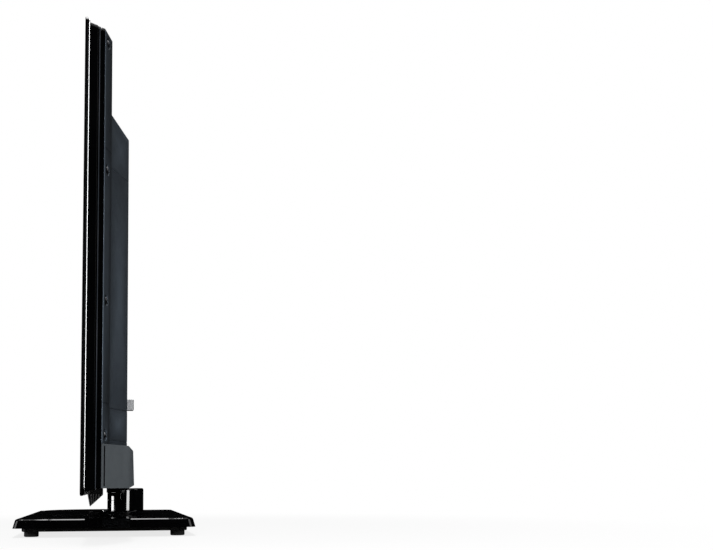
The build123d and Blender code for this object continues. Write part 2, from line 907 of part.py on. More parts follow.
def make_terminal_panel():
    inner = bulge_back - cover_wall
    edges = (terminal_x - terminal_width / 2, terminal_x + terminal_width / 2)
    panel = block(*edges, inner, bulge_back, terminal_low, terminal_high)
    wide = terminal_width + 2 * terminal_flange
    rim = (wide, terminal_low - terminal_flange, terminal_high + terminal_flange)
    panel += slab(inner - terminal_flange_thickness, inner, *rim, terminal_corner, terminal_x)
    holes = []
    for x, z in hdmi_places():
        half = hdmi_width / 2 + running_gap
        rise = hdmi_height / 2 + running_gap
        holes.append(block(x - half, x + half, main_board_back, bulge_back + overrun, z - rise, z + rise))
    for x, z in jack_places():
        holes.append(rod(x, z, main_board_back, bulge_back + overrun, jack_collar_radius + running_gap))
    half = aerial_width / 2 + running_gap
    z = head_bottom + aerial_rise
    edges = (aerial_x - half, aerial_x + half)
    holes.append(block(*edges, main_board_back, bulge_back + overrun, z - half, z + half))
    return panel - holes


def make_hdmi_sockets():
    sockets = []
    for x, z in hdmi_places():
        half = hdmi_width / 2
        rise = hdmi_height / 2
        shell = block(x - half, x + half, main_board_back, bulge_back, z - rise, z + rise)
        wall = hdmi_wall
        mouth = (x - half + wall, x + half - wall, bulge_back - hdmi_cavity_depth, bulge_back + overrun)
        shell -= block(*mouth, z - rise + wall, z + rise - wall)
        tongue_half = half - 3 * wall
        tongue = (x - tongue_half, x + tongue_half, bulge_back - hdmi_cavity_depth, bulge_back - 2 * wall)
        shell += block(*tongue, z - hdmi_tongue / 2, z + hdmi_tongue / 2)
        sockets.append(shell)
    return Compound(children=sockets)


def make_audio_jacks():
    jacks = []
    inner = bulge_back - cover_wall - terminal_flange_thickness
    for x, z in jack_places():
        half = jack_size / 2
        jack = block(x - half, x + half, main_board_back, inner, z - half, z + half)
        jack += rod(x, z, inner, bulge_back + jack_collar_height, jack_collar_radius)
        jack -= rod(x, z, main_board_back + board_thickness, bulge_back + overrun, jack_bore_radius)
        jacks.append(jack)
    return Compound(children=jacks)


def make_aerial_socket():
    z = head_bottom + aerial_rise
    end = bulge_back + aerial_reach
    half = aerial_width / 2
    can = block(aerial_x - half, aerial_x + half, main_board_back, end, z - half, z + half)
    can = chamfer(can.faces().sort_by(Axis.Y)[-1].edges(), aerial_wall)
    floor = end - aerial_bore_depth
    can -= rod(aerial_x, z, floor, end + overrun, aerial_bore_radius)
    barrel = rod(aerial_x, z, floor, end, aerial_barrel_radius)
    barrel -= rod(aerial_x, z, floor + aerial_wall, end + overrun, aerial_pin_radius)
    return can + barrel


def make_mains_inlet():
    z = head_bottom + inlet_rise
    half = inlet_width / 2
    rise = inlet_height / 2
    inner = bulge_back - cover_wall
    body = block(inlet_x - half, inlet_x + half, bulge_back - inlet_depth, bulge_back, z - rise, z + rise)
    lip = inlet_flange
    flange = (inlet_x - half - lip, inlet_x + half + lip, inner - inlet_flange_thickness, inner)
    body += block(*flange, z - rise - lip, z + rise + lip)
    cavity = (inlet_width - 2 * inlet_wall, z - rise + inlet_wall, z + rise - inlet_wall)
    floor = bulge_back - inlet_cavity_depth
    rounding = inlet_round_share * (rise - inlet_wall)
    body -= slab(floor, bulge_back + overrun, *cavity, rounding, inlet_x)
    for way in (-1, 1):
        x = inlet_x + way * inlet_pin_pitch / 2
        body += rod(x, z, floor, bulge_back - inlet_pin_recess, inlet_pin_radius)
    return body


def key_places():
    """Each push button's name and level, from the top down."""
    top = key_middle + key_pitch * (key_count - 1) / 2
    return [(name, top - index * key_pitch) for index, name in enumerate(key_names)]


def key_board_size():
    """Width, lower edge and height of the key board."""
    height = key_pitch * (key_count - 1) + 2 * key_panel_margin
    return (key_panel_width, key_middle - height / 2, height)


def make_key_panel():
    width, low, height = key_board_size()
    inner = rim_back - cover_wall
    edges = (key_x - width / 2, key_x + width / 2)
    panel = block(*edges, inner, rim_back, low, low + height)
    flange = key_flange
    rim = (edges[0] - flange, edges[1] + flange, inner - key_flange_thickness, inner)
    panel += block(*rim, low - flange, low + height + flange)
    holes = []
    for _, z in key_places():
        half = button_height / 2 + part_gap
        opening = (button_width + 2 * part_gap, z - half, z + half)
        holes.append(slab(inner - overrun, rim_back + overrun, *opening, button_corner, key_x))
    return panel - holes


def make_key_board():
    width, low, height = key_board_size()
    board = make_board(key_x, width, low, height, key_board_front)
    half = switch_size / 2
    plunger_end = button_stem_end() - button_travel - part_gap
    body_end = plunger_end - switch_plunger_height
    for _, z in key_places():
        board += block(key_x - half, key_x + half, key_board_back, body_end, z - half, z + half)
        board += rod(key_x, z, body_end, plunger_end, switch_plunger_radius)
    return board


def button_lip_back():
    """Depth of the lip that keeps a button inside the key panel."""
    return rim_back - cover_wall - key_flange_thickness - button_rest_gap


def button_stem_end():
    """Depth of a button's stem end at rest."""
    return button_lip_back() - 2 * button_lip_thickness - button_lip


def make_button(z):
    front = button_lip_back() - button_lip_thickness
    size = (button_width, z - button_height / 2, z + button_height / 2, button_corner)
    button = slab(front, rim_back + button_proud, *size, key_x)
    top = button.faces().sort_by(Axis.Y)[-1].edges()
    button = fillet(top, button_proud / 2)
    lip = (button_width + 2 * button_lip, size[1] - button_lip, size[2] + button_lip, button_corner)
    button += slab(front, button_lip_back(), *lip, key_x)
    half = button_stem / 2
    return button + block(key_x - half, key_x + half, button_stem_end(), front, z - half, z + half)


def make_speaker(way):
    x = way * speaker_x
    floor = lower_bottom + cover_wall
    low = floor + speaker_ring_height
    back = cabinet_back + lower_depth - cover_wall - 2 * lower_bottom_chamfer
    front = back - speaker_depth
    half = speaker_width / 2
    box = block(x - half, x + half, front, back, low, low + speaker_height)
    box = fillet(box.edges().filter_by(Axis.Z), speaker_corner)
    y = (front + back) / 2
    box += pillar(x, y, floor, low, speaker_ring_radius)
    cone = Pos(x, y, floor + speaker_cone_depth / 2)
    cone = cone * Cone(speaker_cone_radius, speaker_dome_radius, speaker_cone_depth)
    box -= cone
    return box + pillar(x, y, floor + speaker_ring_height, low + speaker_cone_depth, speaker_dome_radius)


def chin_profile():
    """Side outline of the chin, which hangs below the cabinet and carries the front face on down."""
    points = [
        (head_front + chin_front_gap, head_bottom - part_gap),
        (head_front + chin_tip_depth, head_bottom - chin_tip_drop),
        (head_front + chin_heel_depth, head_bottom - chin_heel_drop),
        (head_front + chin_back_depth, head_bottom - chin_back_drop),
        (head_front + chin_back_depth, lower_bottom),
        (trim_back, lower_bottom),
        (trim_back, head_bottom - part_gap),
    ]
    return Plane.YZ * Polygon(*points, align=None)


def chin_front_plane():
    """Plane on the chin's sloping front face, at its middle."""
    rise = chin_tip_drop - part_gap
    run = chin_tip_depth - chin_front_gap
    slope = Vector(0, run, -rise).normalized()
    middle_y = head_front + (chin_front_gap + chin_tip_depth) / 2
    middle_z = head_bottom - (part_gap + chin_tip_drop) / 2
    normal = Vector(1, 0, 0).cross(slope * -1)
    return Plane(origin=(0, middle_y, middle_z), x_dir=(1, 0, 0), z_dir=normal)


def make_sensor_chin():
    chin = extrude(chin_profile(), amount=chin_top_width / 2, both=True)
    slant = (chin_top_width - chin_tip_width) / 2
    drop = chin_tip_drop
    sides = []
    for way in (-1, 1):
        points = [
            (way * chin_top_width / 2, head_bottom),
            (way * (chin_top_width / 2 - slant), head_bottom - drop),
            (way * (chin_top_width / 2 - slant), head_bottom - drop - overrun),
            (way * (chin_top_width / 2 + overrun), head_bottom - drop - overrun),
            (way * (chin_top_width / 2 + overrun), head_bottom),
        ]
        face = Plane.XZ.offset(-head_front + overrun) * Polygon(*points, align=None)
        sides.append(extrude(face, amount=chin_back_depth + 2 * overrun, dir=(0, 1, 0)))
    chin -= sides
    step_y = trim_back + cabinet_step_from_front
    chin -= cabinet_form(trim_back, step_y, 0)
    chin -= cabinet_form(step_y, cabinet_back, cabinet_step_depth)
    hollow = offset(chin_profile(), amount=-chin_wall, kind=Kind.INTERSECTION)
    hollow_half = chin_tip_width / 2 - 2 * chin_wall
    chin -= extrude(hollow, amount=hollow_half, both=True)
    face = chin_front_plane()
    well = Box(sensor_width + 2 * running_gap, sensor_height + 2 * running_gap, 2 * chin_wall + overrun)
    chin -= face * well
    pipe = Cylinder(indicator_radius + running_gap, 2 * chin_wall + overrun)
    chin -= face * Pos(indicator_from_sensor, 0) * pipe
    heel = Vector(0, head_front + chin_heel_depth, head_bottom - chin_heel_drop)
    back = Vector(0, head_front + chin_back_depth, head_bottom - chin_back_drop)
    for index in range(chin_rib_count):
        spot = heel + (back - heel) * ((index + 1) / (chin_rib_count + 1))
        groove = Rot(0, 0, 0) * Cylinder(chin_rib_groove / 2, chin_tip_width - 4 * chin_wall)
        chin -= Pos(*spot) * Rot(0, 90, 0) * groove
    return chin


def make_sensor_window():
    pane = Pos(0, 0, -sensor_thickness / 2) * Box(sensor_width, sensor_height, sensor_thickness)
    return chin_front_plane() * pane


def make_sensor_board():
    depth = chin_wall + board_thickness
    board = Pos(0, 0, -depth + board_thickness / 2)
    board = board * Box(sensor_board_width, sensor_board_height, board_thickness)
    receiver_height = chin_wall - sensor_thickness
    receiver = Box(sensor_width / 3, sensor_height / 2, receiver_height)
    board += Pos(0, 0, -sensor_thickness - receiver_height / 2) * receiver
    return chin_front_plane() * board


def make_indicator_light():
    pipe = Pos(indicator_from_sensor, 0, -chin_wall / 2) * Cylinder(indicator_radius, chin_wall)
    return chin_front_plane() * pipe


def base_outline(z, shrink):
    """The base's outline from above at level z, drawn in by shrink."""
    face = Plane.XY.offset(z) * Rectangle(base_width - 2 * shrink, base_depth - 2 * shrink)
    face = fillet(face.vertices().group_by(Axis.Y)[0], base_front_corner)
    return fillet(face.vertices().group_by(Axis.Y)[-1], base_rear_corner)


def base_form(shrink, low, high):
    """The base's form, which widens downwards, between two levels and drawn in by shrink."""
    shrinks = [shrink + base_draft * (level - skirt_bottom) / base_skirt for level in (low, high)]
    outlines = [base_outline(low, shrinks[0]), base_outline(high, shrinks[1])]
    return loft(outlines, ruled=True)


def base_screw_places():
    """Screws that hold the steel plate up into the base cover."""
    reach_y = base_depth / 2 - base_screw_inset_y
    xs = spread(base_screw_columns, base_width - 2 * base_screw_inset_x)
    return [(x, y) for x in xs for y in (-reach_y, reach_y)]


def make_base_cover():
    outer = base_form(0, skirt_bottom, base_top)
    outer = fillet(outer.faces().sort_by(Axis.Z)[-1].edges(), base_edge_radius)
    ceiling = base_top - base_wall
    cover = outer - base_form(base_wall, skirt_bottom - overrun, ceiling)
    half_x = base_width / 2 - base_draft - base_wall / 2
    half_y = base_depth / 2 - base_draft - base_wall / 2
    rib_low = foot_height + base_plate_steel + base_plate_rim + part_gap
    for x in spread(base_cross_rib_count, base_width - 4 * base_rear_corner):
        cover += block(x - base_rib / 2, x + base_rib / 2, -half_y, half_y, rib_low, ceiling)
    for y in spread(base_long_rib_count, base_depth - 4 * base_rear_corner):
        cover += block(-half_x, half_x, y - base_rib / 2, y + base_rib / 2, rib_low, ceiling)
    plate_top = foot_height + base_plate_steel
    for x, y in base_screw_places():
        cover += pillar(x, y, plate_top, ceiling, base_boss_radius)
    well = hub_flange_radius + part_gap
    cover += pillar(0, swivel_y, plate_top, ceiling, stop_pin_circle + 4 * stop_pin_radius)
    cover -= pillar(0, swivel_y, foot_height, ceiling, well)
    collar_radius = stud_radius + hub_wall + part_gap
    cover -= pillar(0, swivel_y, foot_height, base_top + overrun, collar_radius)
    groove_low = base_top - ring_groove_depth
    groove = pillar(0, swivel_y, groove_low, base_top + overrun, ring_inner_radius + ring_width)
    groove -= pillar(0, swivel_y, groove_low - overrun, base_top + 2 * overrun, ring_inner_radius)
    cover -= groove
    cover -= stop_slot()
    screw_top = foot_height + base_screw_length + part_gap
    hole = base_screw_radius + running_gap
    return cover - [pillar(x, y, plate_top - overrun, screw_top, hole) for x, y in base_screw_places()]


def stop_slot():
    """Curved slot that lets the stop pin travel with the swivel."""
    play = math.degrees((stop_pin_radius + part_gap) / stop_pin_circle)
    reach = swivel_reach_degrees + play
    circle = stop_pin_circle
    outer = circle + stop_pin_radius + part_gap
    inner = circle - stop_pin_radius - part_gap
    far = 2 * outer
    side = math.radians(reach)
    wedge = Polygon((0, 0), (-far * math.sin(side), -far * math.cos(side)),
                    (far * math.sin(side), -far * math.cos(side)), align=None)
    face = (Circle(outer) - Circle(inner)) & wedge
    place = Pos(0, swivel_y, base_top - base_wall - overrun)
    return extrude(place * face, amount=base_wall + 2 * overrun)


def base_tray(low, high, shrink):
    """Block with the outline of the base's steel tray, drawn in by shrink."""
    half_x = base_width / 2 - base_plate_inset - shrink
    half_y = base_depth / 2 - base_plate_inset - shrink
    tray = block(-half_x, half_x, -half_y, half_y, low, high)
    return fillet(tray.edges().filter_by(Axis.Z), base_plate_corner - shrink)


def make_base_plate():
    rim_top = foot_height + base_plate_steel + base_plate_rim
    plate = base_tray(foot_height, rim_top, 0)
    plate = fillet(plate.faces().sort_by(Axis.Z)[0].edges(), base_plate_edge)
    plate -= base_tray(foot_height + base_plate_steel, rim_top + overrun, base_plate_wall)
    holes = [pillar(0, swivel_y, 0, base_top, stud_radius + hub_wall)]
    for x, y in base_screw_places():
        holes.append(pillar(x, y, 0, base_top, base_screw_radius + running_gap))
    return plate - holes


def make_base_feet():
    feet = []
    reach_x = base_width / 2 - foot_inset_x
    reach_y = base_depth / 2 - foot_inset_y
    for x in (-reach_x, reach_x):
        for y in (-reach_y, reach_y):
            foot = pillar(x, y, 0, foot_height, foot_radius)
            foot = chamfer(foot.faces().sort_by(Axis.Z)[0].edges(), foot_recess_depth)
            feet.append(foot - pillar(x, y, 0, foot_recess_depth, foot_recess_radius))
    return Compound(children=feet)


def make_base_screws():
    screws = []
    for x, y in base_screw_places():
        top = foot_height + base_screw_length
        screw = pillar(x, y, foot_height, top, base_screw_radius)
        head = pillar(x, y, foot_height - base_screw_head_height, foot_height, base_screw_head_radius)
        screws.append(screw + head)
    return Compound(children=screws)


def make_swivel_hub():
    outer = stud_radius + hub_wall
    plate_top = foot_height + base_plate_steel
    hub = pillar(0, swivel_y, foot_height, base_top, outer)
    hub += pillar(0, swivel_y, plate_top, plate_top + hub_flange_thickness, hub_flange_radius)
    return hub - pillar(0, swivel_y, 0, base_top + overrun, stud_radius + running_gap)


def make_bearing_ring():
    top = swivel_plate_bottom - running_gap
    bottom = base_top - ring_groove_depth
    inner = ring_inner_radius + running_gap
    ring = pillar(0, swivel_y, bottom, top, ring_inner_radius + ring_width - running_gap)
    return ring - pillar(0, swivel_y, bottom - overrun, top + overrun, inner)


def make_swivel_disc():
    disc = Pos(0, swivel_y, (disc_bottom + disc_top) / 2)
    disc = disc * Cone(disc_bottom_radius, disc_top_radius, disc_height)
    room = swivel_plate_radius + part_gap
    disc -= pillar(0, swivel_y, disc_bottom - overrun, swivel_plate_top, room)
    reach = channel_half_width + part_gap
    door = (channel_front - part_gap, channel_front + channel_depth + part_gap)
    disc -= block(-reach, reach, *door, disc_bottom, disc_top + overrun)
    head = stud_head_radius + part_gap
    return disc - pillar(0, swivel_y, disc_bottom, swivel_plate_top + disc_wall / 2, head)


def make_swivel_plate():
    plate = pillar(0, swivel_y, swivel_plate_bottom, swivel_plate_top, swivel_plate_radius)
    y = swivel_y - stop_pin_circle
    plate += pillar(0, y, swivel_plate_bottom - stop_pin_length, swivel_plate_bottom, stop_pin_radius)
    return plate - pillar(0, swivel_y, 0, disc_top, stud_radius + running_gap)


def make_pivot_stud():
    head_top_level = swivel_plate_top + disc_wall / 2
    stud = pillar(0, swivel_y, nut_low(), swivel_plate_top, stud_radius)
    return stud + pillar(0, swivel_y, swivel_plate_top, head_top_level, stud_head_radius)


def nut_low():
    """Underside of the pivot nut, which clears the surface that the feet stand on."""
    return foot_height - part_gap - nut_flange_thickness - nut_height


def make_pivot_nut():
    high = foot_height - part_gap
    nut = Pos(0, swivel_y, nut_low()) * extrude(RegularPolygon(nut_radius, 6), amount=nut_height)
    nut += pillar(0, swivel_y, high - nut_flange_thickness, high, nut_flange_radius)
    return nut - pillar(0, swivel_y, 0, base_top, stud_radius)


def neck_front_segment(low, high, grow):
    """Front slice of the round neck, grown by a margin at its outside."""
    column = pillar(0, neck_y, low, high, neck_radius + grow)
    wide = 2 * neck_radius
    return column & block(-wide, wide, neck_front - wide, neck_split, low, high)


def channel_room(low, high):
    """Room for the steel channel inside the neck's mouldings."""
    reach = channel_half_width + part_gap
    return block(-reach, reach, channel_front - part_gap, channel_front + channel_depth + part_gap, low, high)


def make_neck_column():
    column = pillar(0, neck_y, neck_bottom, neck_top, neck_radius)
    column = fillet(column.faces().sort_by(Axis.Z)[-1].edges(), neck_edge_radius)
    wide = 2 * neck_radius
    post_levels = (post_bottom - part_gap, neck_top + overrun)
    column -= block(-wide, wide, neck_front - wide, neck_split + part_gap, *post_levels)
    hollow = pillar(0, neck_y, neck_bottom - overrun, neck_top - neck_wall, neck_radius - neck_wall)
    hollow &= block(-wide, wide, neck_split + neck_wall, neck_y + wide, neck_bottom - overrun, neck_top)
    column -= hollow
    return column - channel_room(neck_bottom - overrun, neck_top)


def make_neck_post():
    post = neck_front_segment(post_bottom, collar_bottom, 0)
    return post - channel_room(post_bottom - overrun, collar_bottom + overrun)


def make_neck_collar():
    collar = neck_front_segment(collar_bottom, lower_bottom, collar_overhang)
    return collar - channel_room(collar_bottom - overrun, lower_bottom + overrun)


def make_neck_bracket():
    low = swivel_plate_top
    high = lower_bottom + channel_rise - 2 * overrun
    back = channel_front + channel_depth
    channel = block(-channel_half_width, channel_half_width, channel_front, back, low, high)
    inner = channel_half_width - channel_steel
    channel -= block(-inner, inner, channel_front + channel_steel, back + overrun, low - overrun, high + overrun)
    hole = bolt_radius + running_gap
    return channel - [rod(x, z, channel_front - overrun, back, hole) for x, z in bolt_places()]


def bolt_places():
    """Bolts that tie the neck's channel to the bracket on the chassis."""
    middle = lower_bottom + lower_cover_height / 2
    xs = (-bolt_half_spacing_x, bolt_half_spacing_x)
    return [(x, middle + way * bolt_half_spacing_z) for x in xs for way in (-1, 1)]


def make_chassis_bracket():
    middle = lower_bottom + lower_cover_height / 2
    low = picture_middle - frame_half_height
    high = low + bracket_height
    foot = block(-bracket_half_width, bracket_half_width, pan_back, pan_back + bracket_steel, low, high)
    arm = channel_half_width
    bracket = foot
    plate_low = middle - bolt_half_spacing_z - 2 * bolt_head_radius
    for way in (-1, 1):
        edges = sorted((way * arm, way * (arm + bracket_steel)))
        bracket += block(*edges, pan_back, channel_front, plate_low, high)
    span = arm + bracket_steel
    bracket += block(-span, span, channel_front - bracket_steel, channel_front, plate_low, high)
    holes = []
    depths = (channel_front - 2 * bracket_steel, channel_front + overrun)
    for x, z in bolt_places():
        holes.append(rod(x, z, *depths, bolt_radius + running_gap))
    return bracket - holes


def make_bracket_bolts():
    bolts = []
    for x, z in bolt_places():
        seat = channel_front + channel_steel
        bolt = rod(x, z, seat - bolt_length, seat, bolt_radius)
        bolts.append(bolt + rod(x, z, seat, seat + bolt_head_height, bolt_head_radius))
    return Compound(children=bolts)


pieces = {
    "base_cover": make_base_cover(),
    "base_plate": make_base_plate(),
    "base_feet": make_base_feet(),
    "base_screws": make_base_screws(),
    "swivel_hub": make_swivel_hub(),
    "bearing_ring": make_bearing_ring(),
    "swivel_disc": make_swivel_disc(),
    "swivel_plate": make_swivel_plate(),
    "pivot_stud": make_pivot_stud(),
    "pivot_nut": make_pivot_nut(),
    "neck_column": make_neck_column(),
    "neck_post": make_neck_post(),
    "neck_collar": make_neck_collar(),
    "neck_bracket": make_neck_bracket(),
    "chassis_bracket": make_chassis_bracket(),
    "bracket_bolts": make_bracket_bolts(),
    "front_plate": make_front_plate(),
    "trim_band": make_trim_band(),
    "front_cabinet": make_front_cabinet(),
    "rear_cover": make_rear_cover(),
    "lower_cover": make_lower_cover(),
    "cover_screws": make_cover_screws(),
    "vent_grille": make_vent_grille(),
    "sensor_chin": make_sensor_chin(),
    "sensor_window": make_sensor_window(),
    "sensor_board": make_sensor_board(),
    "indicator_light": make_indicator_light(),
    "cell_clamp_frame": make_cell_clamp_frame(),
    "lcd_cell": make_lcd_cell(),
    "sheet_frame": make_sheet_frame(),
    "diffuser_sheets": make_diffuser_sheets(),
    "light_guide": make_light_guide(),
    "led_bars": make_led_bars(),
    "reflector_sheet": make_reflector_sheet(),
    "chassis_pan": make_chassis_pan(),
    "source_boards": make_source_boards(),
    "timing_board": make_board(0, timing_board_width, timing_board_low, timing_board_height, timing_board_front),
    "ribbon_cables": make_ribbon_cables(),
    "main_board": make_board(main_board_x, main_board_width, main_board_low, main_board_height, main_board_front),
    "main_heat_sink": make_main_heat_sink(),
    "power_board": make_board(power_board_x, power_board_width, power_board_low, power_board_height, power_board_front),
    "power_parts": make_power_parts(),
    "board_posts": make_board_posts(),
    "mount_posts": make_mount_posts(),
    "terminal_panel": make_terminal_panel(),
    "hdmi_sockets": make_hdmi_sockets(),
    "audio_jacks": make_audio_jacks(),
    "aerial_socket": make_aerial_socket(),
    "mains_inlet": make_mains_inlet(),
    "speaker_left": make_speaker(-1),
    "speaker_right": make_speaker(1),
    "key_panel": make_key_panel(),
    "key_board": make_key_board(),
}
for name, level in key_places():
    pieces[name + "_button"] = make_button(level)

os.makedirs("parts", exist_ok=True)
for name, shape in pieces.items():
    export_step(shape, "parts/" + name + ".step")
print(len(pieces), "pieces written")
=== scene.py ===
import bpy
import bmesh
import json
import math
from mathutils import Matrix, Vector


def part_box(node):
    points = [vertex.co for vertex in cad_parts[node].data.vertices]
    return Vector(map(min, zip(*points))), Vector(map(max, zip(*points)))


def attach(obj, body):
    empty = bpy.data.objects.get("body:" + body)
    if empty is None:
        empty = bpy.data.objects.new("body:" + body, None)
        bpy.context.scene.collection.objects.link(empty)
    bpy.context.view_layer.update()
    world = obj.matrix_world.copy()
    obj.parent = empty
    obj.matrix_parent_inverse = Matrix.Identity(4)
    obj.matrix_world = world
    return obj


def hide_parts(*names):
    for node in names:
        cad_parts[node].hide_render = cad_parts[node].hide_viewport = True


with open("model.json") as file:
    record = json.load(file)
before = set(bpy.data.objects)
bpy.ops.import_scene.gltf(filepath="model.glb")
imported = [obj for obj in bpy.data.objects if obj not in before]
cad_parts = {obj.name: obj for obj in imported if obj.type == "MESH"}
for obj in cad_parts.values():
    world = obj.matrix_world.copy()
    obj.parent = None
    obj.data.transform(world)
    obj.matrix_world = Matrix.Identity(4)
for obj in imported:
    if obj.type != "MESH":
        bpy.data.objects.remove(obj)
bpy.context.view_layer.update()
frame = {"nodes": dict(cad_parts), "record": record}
nodes = frame["nodes"]


# Shared by the stage, the finishes and the new pieces

weldDistance = 0.00001  # joins a carried-over node's loose triangles
mergeDistance = 0.000005  # joins the start and the end of a spin


def addObject(name, bm):
    mesh = bpy.data.meshes.new(name)
    bm.to_mesh(mesh)
    bm.free()
    thing = bpy.data.objects.new(name, mesh)
    bpy.context.collection.objects.link(thing)
    return thing


def startFinish(name):
    material = bpy.data.materials.new(name)
    material.use_nodes = True
    return material, material.node_tree, material.node_tree.nodes["Principled BSDF"]


# Camera and stage

photoWidth = 713  # pixels, in which the focal length is given too

camera = {
    "place": (1.706, 0.0056, 0.0703),
    "pan": 6.73, "tilt": 7.11, "roll": -0.34,  # degrees
    "focalPixels": 1005.5,
    "shiftX": 0.18, "shiftY": 0.12,
    "sensor": 36.0,
    "clip": (0.01, 50),
}


def makeCamera(values):
    pan = math.radians(values["pan"])
    tilt = math.radians(values["tilt"])
    roll = math.radians(values["roll"])
    forward = Vector((-math.cos(tilt) * math.cos(pan), math.cos(tilt) * math.sin(pan), math.sin(tilt)))
    right = forward.cross(Vector((0, 0, 1))).normalized()
    up = right.cross(forward)
    turnedRight = math.cos(roll) * right + math.sin(roll) * up
    turnedUp = math.cos(roll) * up - math.sin(roll) * right
    data = bpy.data.cameras.new("photoCamera")
    data.sensor_width = values["sensor"]
    data.lens = values["focalPixels"] / photoWidth * values["sensor"]
    data.shift_x = values["shiftX"]
    data.shift_y = values["shiftY"]
    data.clip_start, data.clip_end = values["clip"]
    shooter = bpy.data.objects.new("photoCamera", data)
    turn = Matrix((turnedRight, turnedUp, -forward)).transposed()
    shooter.matrix_world = Matrix.Translation(values["place"]) @ turn.to_4x4()
    bpy.context.collection.objects.link(shooter)
    bpy.context.scene.camera = shooter


neckPieces = ("neck_column", "neck_post", "neck_collar", "swivel_disc")

studio = {
    "floor": {
        "colour": (0.86, 0.86, 0.86, 1), "rough": 0.9, "size": 12.0, "glow": 0.78,
        "shadowReach": (0.35, 1.1),  # the floor turns plain white between these distances
    },
    "sky": {"strength": 0.42, "backdrop": 1.0},
    "flags": {  # black boards that only reflections see, one on each side
        "colour": (0.004, 0.004, 0.004, 1), "distance": 3.4, "width": 6.8, "height": 6.0,
        "turns": {"flagBehindCamera": 0, "flagRear": 90, "flagBeyond": 180, "flagFront": 270},
    },
    "table": {"size": 6.8, "level": 0.0001},  # the same, lying on the floor
    "openSpread": 180,  # degrees, for a lamp that gives no spread of its own
    "lamps": {
        "overheadLamp": {"place": (0.35, 0, 2.3), "aim": (0.3, 0, 0.0), "size": (0.5, 1.8), "power": 28},
        "sideLamp": {"place": (2.3, -0.3, 0.8), "aim": (0.3, 0, 0.4), "size": (0.9, 0.9), "power": 15,
                     "matteOnly": True},
        "coverLamp": {"place": (2.3, -0.2, 0.30), "aim": (0.4, 0, 0.23), "size": (0.5, 0.4), "power": 3.6,
                      "spread": 30, "matteOnly": True, "lights": ("rear_cover",)},
        "neckLamp": {"place": (0.15, 0.0694, 0.045), "aim": (0, 0.0694, 0.045), "size": (0.041, 0.040),
                     "power": 0.10, "glossOnly": True, "lights": neckPieces},
        "postLamp": {"place": (0.0211, -0.004, 0.0373), "aim": (0.0211, 0.03, 0.0373),
                     "size": (0.0088, 0.0345), "power": 0.022, "glossOnly": True, "lights": neckPieces},
        "trimLamp": {"place": (2.25, 0.3, 0.9), "aim": (0.3, 0, 0.7), "size": (1.2, 2.0), "power": 30,
                     "glossOnly": True, "lights": ("trim_band",)},
        "socketLamp": {"place": (2.25, 0.3, 0.3), "aim": (0.3, 0, 0.2), "size": (1.2, 1.2), "power": 3.4,
                       "glossOnly": True, "lights": ("aerial_socket",)},
        "rearLamp": {"place": (0.7, 2.4, 1.1), "aim": (0.1, 0, 0.3), "size": (0.9, 1.6), "power": 8},
        "frontLamp": {"place": (0.25, -2.4, 0.8), "aim": (0.0, 0, 0.8), "size": (1.2, 1.6), "power": 16},
    },
}


def makeFloor(values):
    bm = bmesh.new()
    bmesh.ops.create_grid(bm, x_segments=1, y_segments=1, size=values["size"] / 2)
    floor = addObject("floor", bm)
    material, tree, shader = startFinish("paleFloor")
    shader.inputs["Base Color"].default_value = values["colour"]
    shader.inputs["Roughness"].default_value = values["rough"]
    shader.inputs["Specular IOR Level"].default_value = 0.0
    glow = tree.nodes.new("ShaderNodeEmission")
    glow.inputs["Color"].default_value = (1, 1, 1, 1)
    path = tree.nodes.new("ShaderNodeLightPath")
    mix = tree.nodes.new("ShaderNodeMixShader")
    place = tree.nodes.new("ShaderNodeTexCoord")
    distance = tree.nodes.new("ShaderNodeVectorMath")
    distance.operation = "LENGTH"
    fade = tree.nodes.new("ShaderNodeMapRange")
    fade.interpolation_type = "SMOOTHSTEP"
    fade.inputs["From Min"].default_value = values["shadowReach"][0]
    fade.inputs["From Max"].default_value = values["shadowReach"][1]
    fade.inputs["To Min"].default_value = values["glow"]
    seen = tree.nodes.new("ShaderNodeMath")
    seen.operation = "MULTIPLY"
    tree.links.new(place.outputs["Object"], distance.inputs[0])
    tree.links.new(distance.outputs["Value"], fade.inputs["Value"])
    tree.links.new(path.outputs["Is Camera Ray"], seen.inputs[0])
    tree.links.new(fade.outputs["Result"], seen.inputs[1])
    tree.links.new(seen.outputs[0], mix.inputs[0])
    tree.links.new(shader.outputs[0], mix.inputs[1])
    tree.links.new(glow.outputs[0], mix.inputs[2])
    tree.links.new(mix.outputs[0], tree.nodes["Material Output"].inputs["Surface"])
    floor.data.materials.append(material)


def makeSky(values):
    world = bpy.data.worlds.new("studioSky")
    bpy.context.scene.world = world
    world.use_nodes = True
    tree = world.node_tree
    soft = tree.nodes["Background"]
    soft.inputs["Color"].default_value = (1, 1, 1, 1)
    soft.inputs["Strength"].default_value = values["strength"]
    plain = tree.nodes.new("ShaderNodeBackground")
    plain.inputs["Color"].default_value = (1, 1, 1, 1)
    plain.inputs["Strength"].default_value = values["backdrop"]
    path = tree.nodes.new("ShaderNodeLightPath")
    either = tree.nodes.new("ShaderNodeMath")
    either.operation = "MAXIMUM"
    anyOf = tree.nodes.new("ShaderNodeMath")
    anyOf.operation = "MAXIMUM"
    tree.links.new(path.outputs["Is Camera Ray"], either.inputs[0])
    tree.links.new(path.outputs["Is Glossy Ray"], either.inputs[1])
    tree.links.new(either.outputs[0], anyOf.inputs[0])
    tree.links.new(path.outputs["Is Transmission Ray"], anyOf.inputs[1])
    mix = tree.nodes.new("ShaderNodeMixShader")
    tree.links.new(anyOf.outputs[0], mix.inputs[0])
    tree.links.new(soft.outputs[0], mix.inputs[1])
    tree.links.new(plain.outputs[0], mix.inputs[2])
    tree.links.new(mix.outputs[0], tree.nodes["World Output"].inputs["Surface"])


